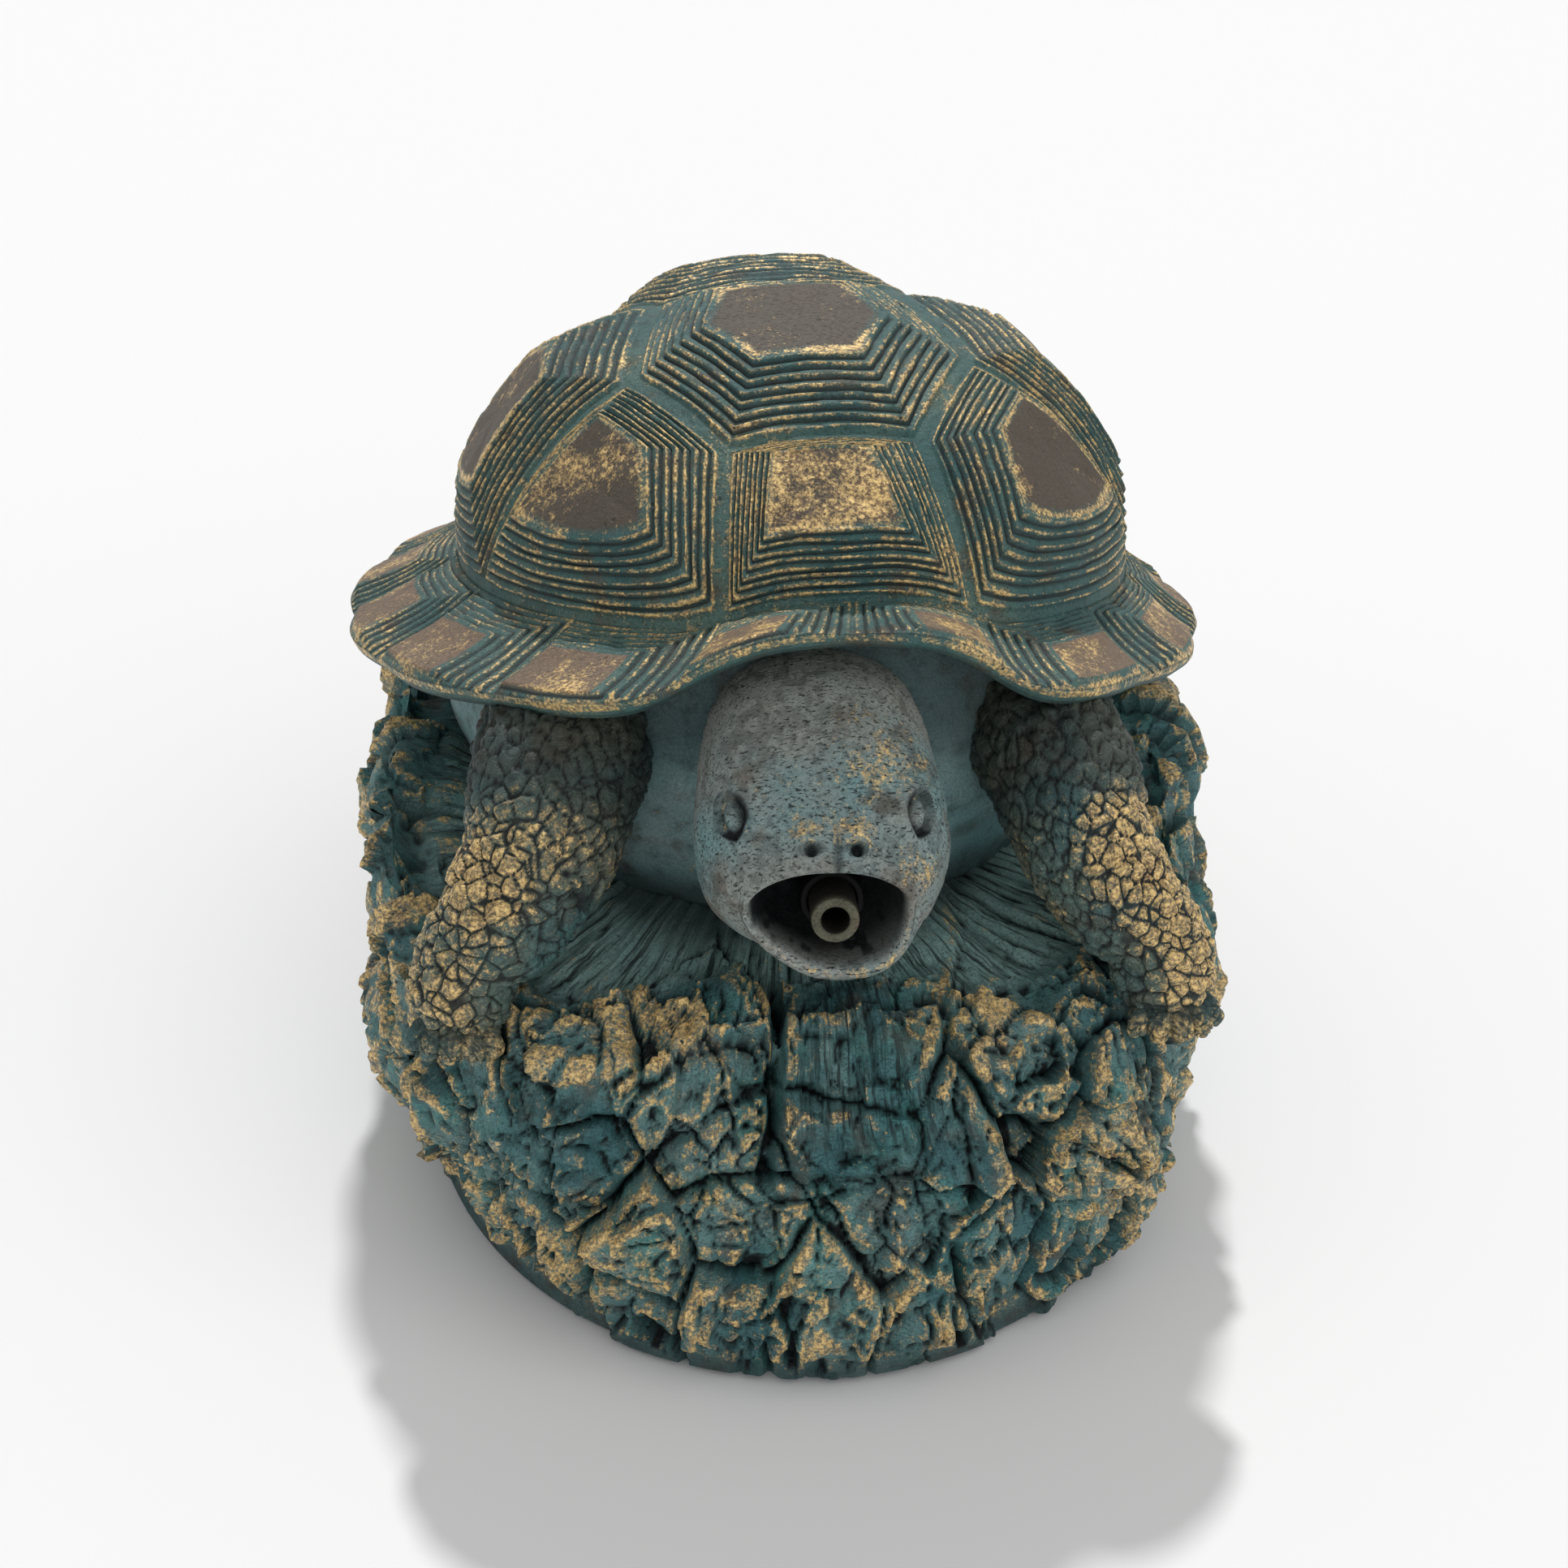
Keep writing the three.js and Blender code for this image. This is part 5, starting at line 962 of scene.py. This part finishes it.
# Painted shade: the grooves of the rings, the lower curl of the edge and the underside of the rim turn dark.
hollow = join([groove * (1 - on_plate), blank])
hollow[upper_rows + 6 : upper_rows + 10] = 0.45
hollow[upper_rows + 10 :] = 0.6
plate = join([on_plate * smooth(1.0, 0.97, widths), blank])
gilt = plate * (0.2 + 0.5 * smooth(-0.2, 0.5, noise(rim_grid, 12, 125)))


def ring_piece(name, grid, **marks):
    """A piece from a grid whose rows and columns both close."""
    return piece(name, grid.reshape(-1, 3), loop_quads(*grid.shape[:2], True), **marks)


rim = ring_piece("shell_rim", in_place(rim_grid), edge=edge, hollow=hollow, plate=plate, gilt=gilt)
rim_paint = patina("rim_patina", *shell_colours, 0.0, (138, 112, 90), dashes=0.3)
finished(rim, rim_paint, "shell_patina", "carapace")


# Spout: a bronzed tube pushed through a black rubber bush in the throat. Its end face is bare and pale, its
# side is painted darker, and its bore carries painted shade.
def turned(profile, origin, axis, sides=64):
    """A profile of (radius, distance) corners, rounded a little and turned about an axis from an origin."""
    corners = np.array(profile, float)
    before, after = np.roll(corners, 1, axis=0) - corners, np.roll(corners, -1, axis=0) - corners
    cut = np.minimum(0.35, 0.3 * np.minimum(length(before), length(after)))[:, None]
    start, stop = corners + unit(before) * cut, corners + unit(after) * cut
    line = [start, (start + stop + 2 * corners) / 4, stop, (2 * stop + np.roll(start, -1, axis=0)) / 3]
    radius, distance = np.stack(line, axis=1).reshape(-1, 2).T[..., None, None]
    side = unit(np.cross(axis, (1, 0, 0)))
    return origin + distance * np.array(axis) + radius * spokes(side, np.cross(axis, side), sides)


def rubber(name, colour, roughness=0.7, scale=900.0, more=()):
    """Moulded rubber or plastic: a dark colour with fine dusty noise in its colour, roughness and surface."""
    made, shade, node, mixed, ranged, _ = brushes(name)
    dust = node("TexNoise", {"Vector": node("TexCoord", {}, "Object"), "Scale": scale, "Detail": 5.0})
    pale = [min(255, int(1.25 * v + 9)) for v in colour]
    shade({
        "Base Color": mixed(ranged(dust, 0.35, 0.75), srgb(*colour), srgb(*pale)),
        "Roughness": ranged(dust, 0.3, 0.7, roughness - 0.1, roughness + 0.1),
        "Specular IOR Level": 0.2,
        "Normal": node("Bump", {"Height": dust, "Strength": 0.3, "Distance": 0.0002}),
        **dict(more),
    })
    return made


spout_tip = np.array([6.4, -121, 114.5])
spout_axis = np.array([0, np.cos(radians(9)), -np.sin(radians(9))])
spout_length, tube_outer, tube_bore = 82, 5, 3
tube_stops = (0, 3, 40, spout_length)
profile = [(tube_outer, stop) for stop in tube_stops] + [(tube_bore, stop) for stop in tube_stops[:0:-1]]
tube_grid = turned([(tube_bore, 0)] + profile, spout_tip, spout_axis)
along = (tube_grid - spout_tip) @ spout_axis
bore = length(tube_grid - spout_tip - along[..., None] * spout_axis) < tube_bore + 0.4
# Painted shade in the bore, and a darker side.
wet = np.maximum(0.9 * smooth(0.3, 2.0, along), 0.97 * bore * smooth(-0.2, 0.4, along))
spout = ring_piece("spout_tube", tube_grid, hollow=wet, edge=0.3 * smooth(1.0, 0, along))
tube_paint = patina("tube_bronze", (104, 102, 80), (90, 96, 80), -0.25, dark=(20, 17, 13), pores=0.3)
finished(spout, tube_paint, "bronzed_tube", "nozzle_tube")

black_rubber = rubber("black_rubber", (14, 14, 15))
bush = ring_piece("spout_bush", turned([(5.3, 10), (6.7, 10), (6.7, 34), (5.3, 34)], spout_tip, spout_axis))
finished(bush, black_rubber, "bush_rubber", "nozzle_bush")

# Hose: clear vinyl, pushed over the spout's tube and over the barbs of the inlet, with a spring clip on each
# end. It drops from the belly through the rock.
hose_outer, hose_inner = 7.3, 5.3
spout_end = spout_tip + spout_length * spout_axis
bend, landing = spout_end + 14 * spout_axis, inlet + (0, 61, 2)
way = lambda back, down: bend + (landing - bend) * (down, back, down)
route = np.array([
    spout_end - 15 * spout_axis, spout_end, bend, way(0.278, 0.165), way(0.53, 0.468), way(0.736, 0.77),
    landing, inlet + (0, 69, 0), inlet + (0, 84, 0),
])
fine_route = between(route, np.linspace(0, 1, 400))
run = join([[0], np.cumsum(length(np.diff(fine_route, axis=0)))])
even = stacked(*(np.interp(np.linspace(0, run[-1], 140), run, line) for line in fine_route.T))
around = spokes_round(unit(np.gradient(even, axis=0)), 48)
hose_grid = join([even[:, None] + hose_outer * around, (even[:, None] + hose_inner * around)[::-1]])
hose = ring_piece("supply_hose_vinyl", hose_grid)
vinyl = rubber("clear_vinyl", (168, 178, 172), 0.3, 260.0, {"Transmission Weight": 0.35})
finished(hose, vinyl, "clear_hose", "supply_hose")


def clip(name, origin, axis, radius=8.1, ear=13.3, half_width=4, half_strip=0.5):
    """A band of spring strip: an open circle that turns out into two ears, with a width along the axis."""
    gap = radians(9)
    bow = np.linspace(gap, 2 * np.pi - gap, 72)
    line = radius * stacked(np.cos(bow), np.sin(bow))
    first_ear = ear * np.array([np.cos(gap + 0.05), np.sin(gap + 0.05)])
    line = join([[first_ear], line, [first_ear * (1, -1)]])
    tangent = unit(np.gradient(line, axis=0))
    normal = stacked(tangent[:, 1], -tangent[:, 0]) * half_strip
    axis = np.array(axis, float)
    plane = np.array([(1.0, 0, 0), np.cross((1.0, 0, 0), axis)])
    corners = [
        origin + (line + sign * normal) @ plane + shift * axis
        for sign, shift in ((1, -half_width), (1, half_width), (-1, half_width), (-1, -half_width))
    ]
    return solid(name, (np.stack(corners, axis=1), {}))


steel = rubber("spring_steel", (120, 122, 124), 0.4, more={"Metallic": 0.9})
for name, origin, axis in (
    ("hose_clip_nozzle", spout_tip + 74.5 * spout_axis, spout_axis),
    ("hose_clip_inlet", inlet + (0, 76.5, 0), (0, 1, 0)),
):
    finished(clip(name + "_strip", origin, axis), steel, "spring_steel", name)

# Inlet: a moulded black bulkhead hose tail through the back of the rock, drawn up by a nut against a rubber
# gasket. Barbs at both ends hold the hoses.
def barb(root, step, peak):
    """Profile of a barb: a steep rise from its root to its peak, and a long fall over the rest."""
    return [(peak - 0.8, root), (peak, root + 0.15 * step), (peak - 0.8, root + 0.95 * step)]


inner_barbs = (barb(85, -9, 5.0) + barb(76, -9, 5.0))[::-1]
outer_barbs = barb(110, 9, 6.6) + barb(119, 9, 6.6)
flange, flange_front = 13, seat_back + 2
stem = [(7, 85), (7, flange_front), (flange, flange_front), (flange, 110)]
profile = [(3, 67)] + inner_barbs + stem + outer_barbs + [(5.8, 128), (3, 128)]
plastic = rubber("black_plastic", (34, 36, 38), 0.45)
fitting = ring_piece("inlet_hose_tail", turned(profile, inlet, (0, 1, 0)))
finished(fitting, plastic, "inlet_plastic", "inlet_fitting")
hole = 7.3
profile = [(hole, seat_back), (flange, seat_back), (flange, flange_front), (hole, flange_front)]
gasket = ring_piece("inlet_seal", turned(profile, inlet, (0, 1, 0)))
finished(gasket, black_rubber, "gasket_rubber", "inlet_gasket")

nut_angles = np.linspace(0, 2 * np.pi, 96, endpoint=False)
flats = 11 / np.cos((nut_angles + np.pi / 6) % (np.pi / 3) - np.pi / 6)
bores = hole + 0 * flats
nut_rows = ((flats, 89.6), (flats, 94.4), (0.97 * flats, 95), (bores, 95), (bores, 89), (0.97 * flats, 89))
nut_spokes = spokes((1, 0, 0), (0, 0, 1), len(nut_angles))
nut_grid = np.stack([inlet + (0, back, 0) + reach[:, None] * nut_spokes for reach, back in nut_rows])
finished(ring_piece("inlet_lock_nut", nut_grid), plastic, "inlet_plastic", "inlet_nut")

# Pads: four rubber discs under the rim of the rock's foot, so that it stands level and doesn't scratch.
for word in ("front_left", "front_right", "rear_left", "rear_right"):
    low_corner, high_corner = (np.array(v) * 1000 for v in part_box("foot_pad_" + word))
    centre = (low_corner + high_corner) / 2 * (1, 1, 0)
    pad_rows = ((4.2, 0.0), (4.5, 0.3), (4.5, 1.7), (4.2, 2.0))
    rings = [centre + (0, 0, high) + radius * spokes((1, 0, 0), (0, 1, 0), 48) for radius, high in pad_rows]
    finished(solid("pad_" + word, (np.stack(rings), {})), black_rubber, "pad_rubber", "foot_pad_" + word)
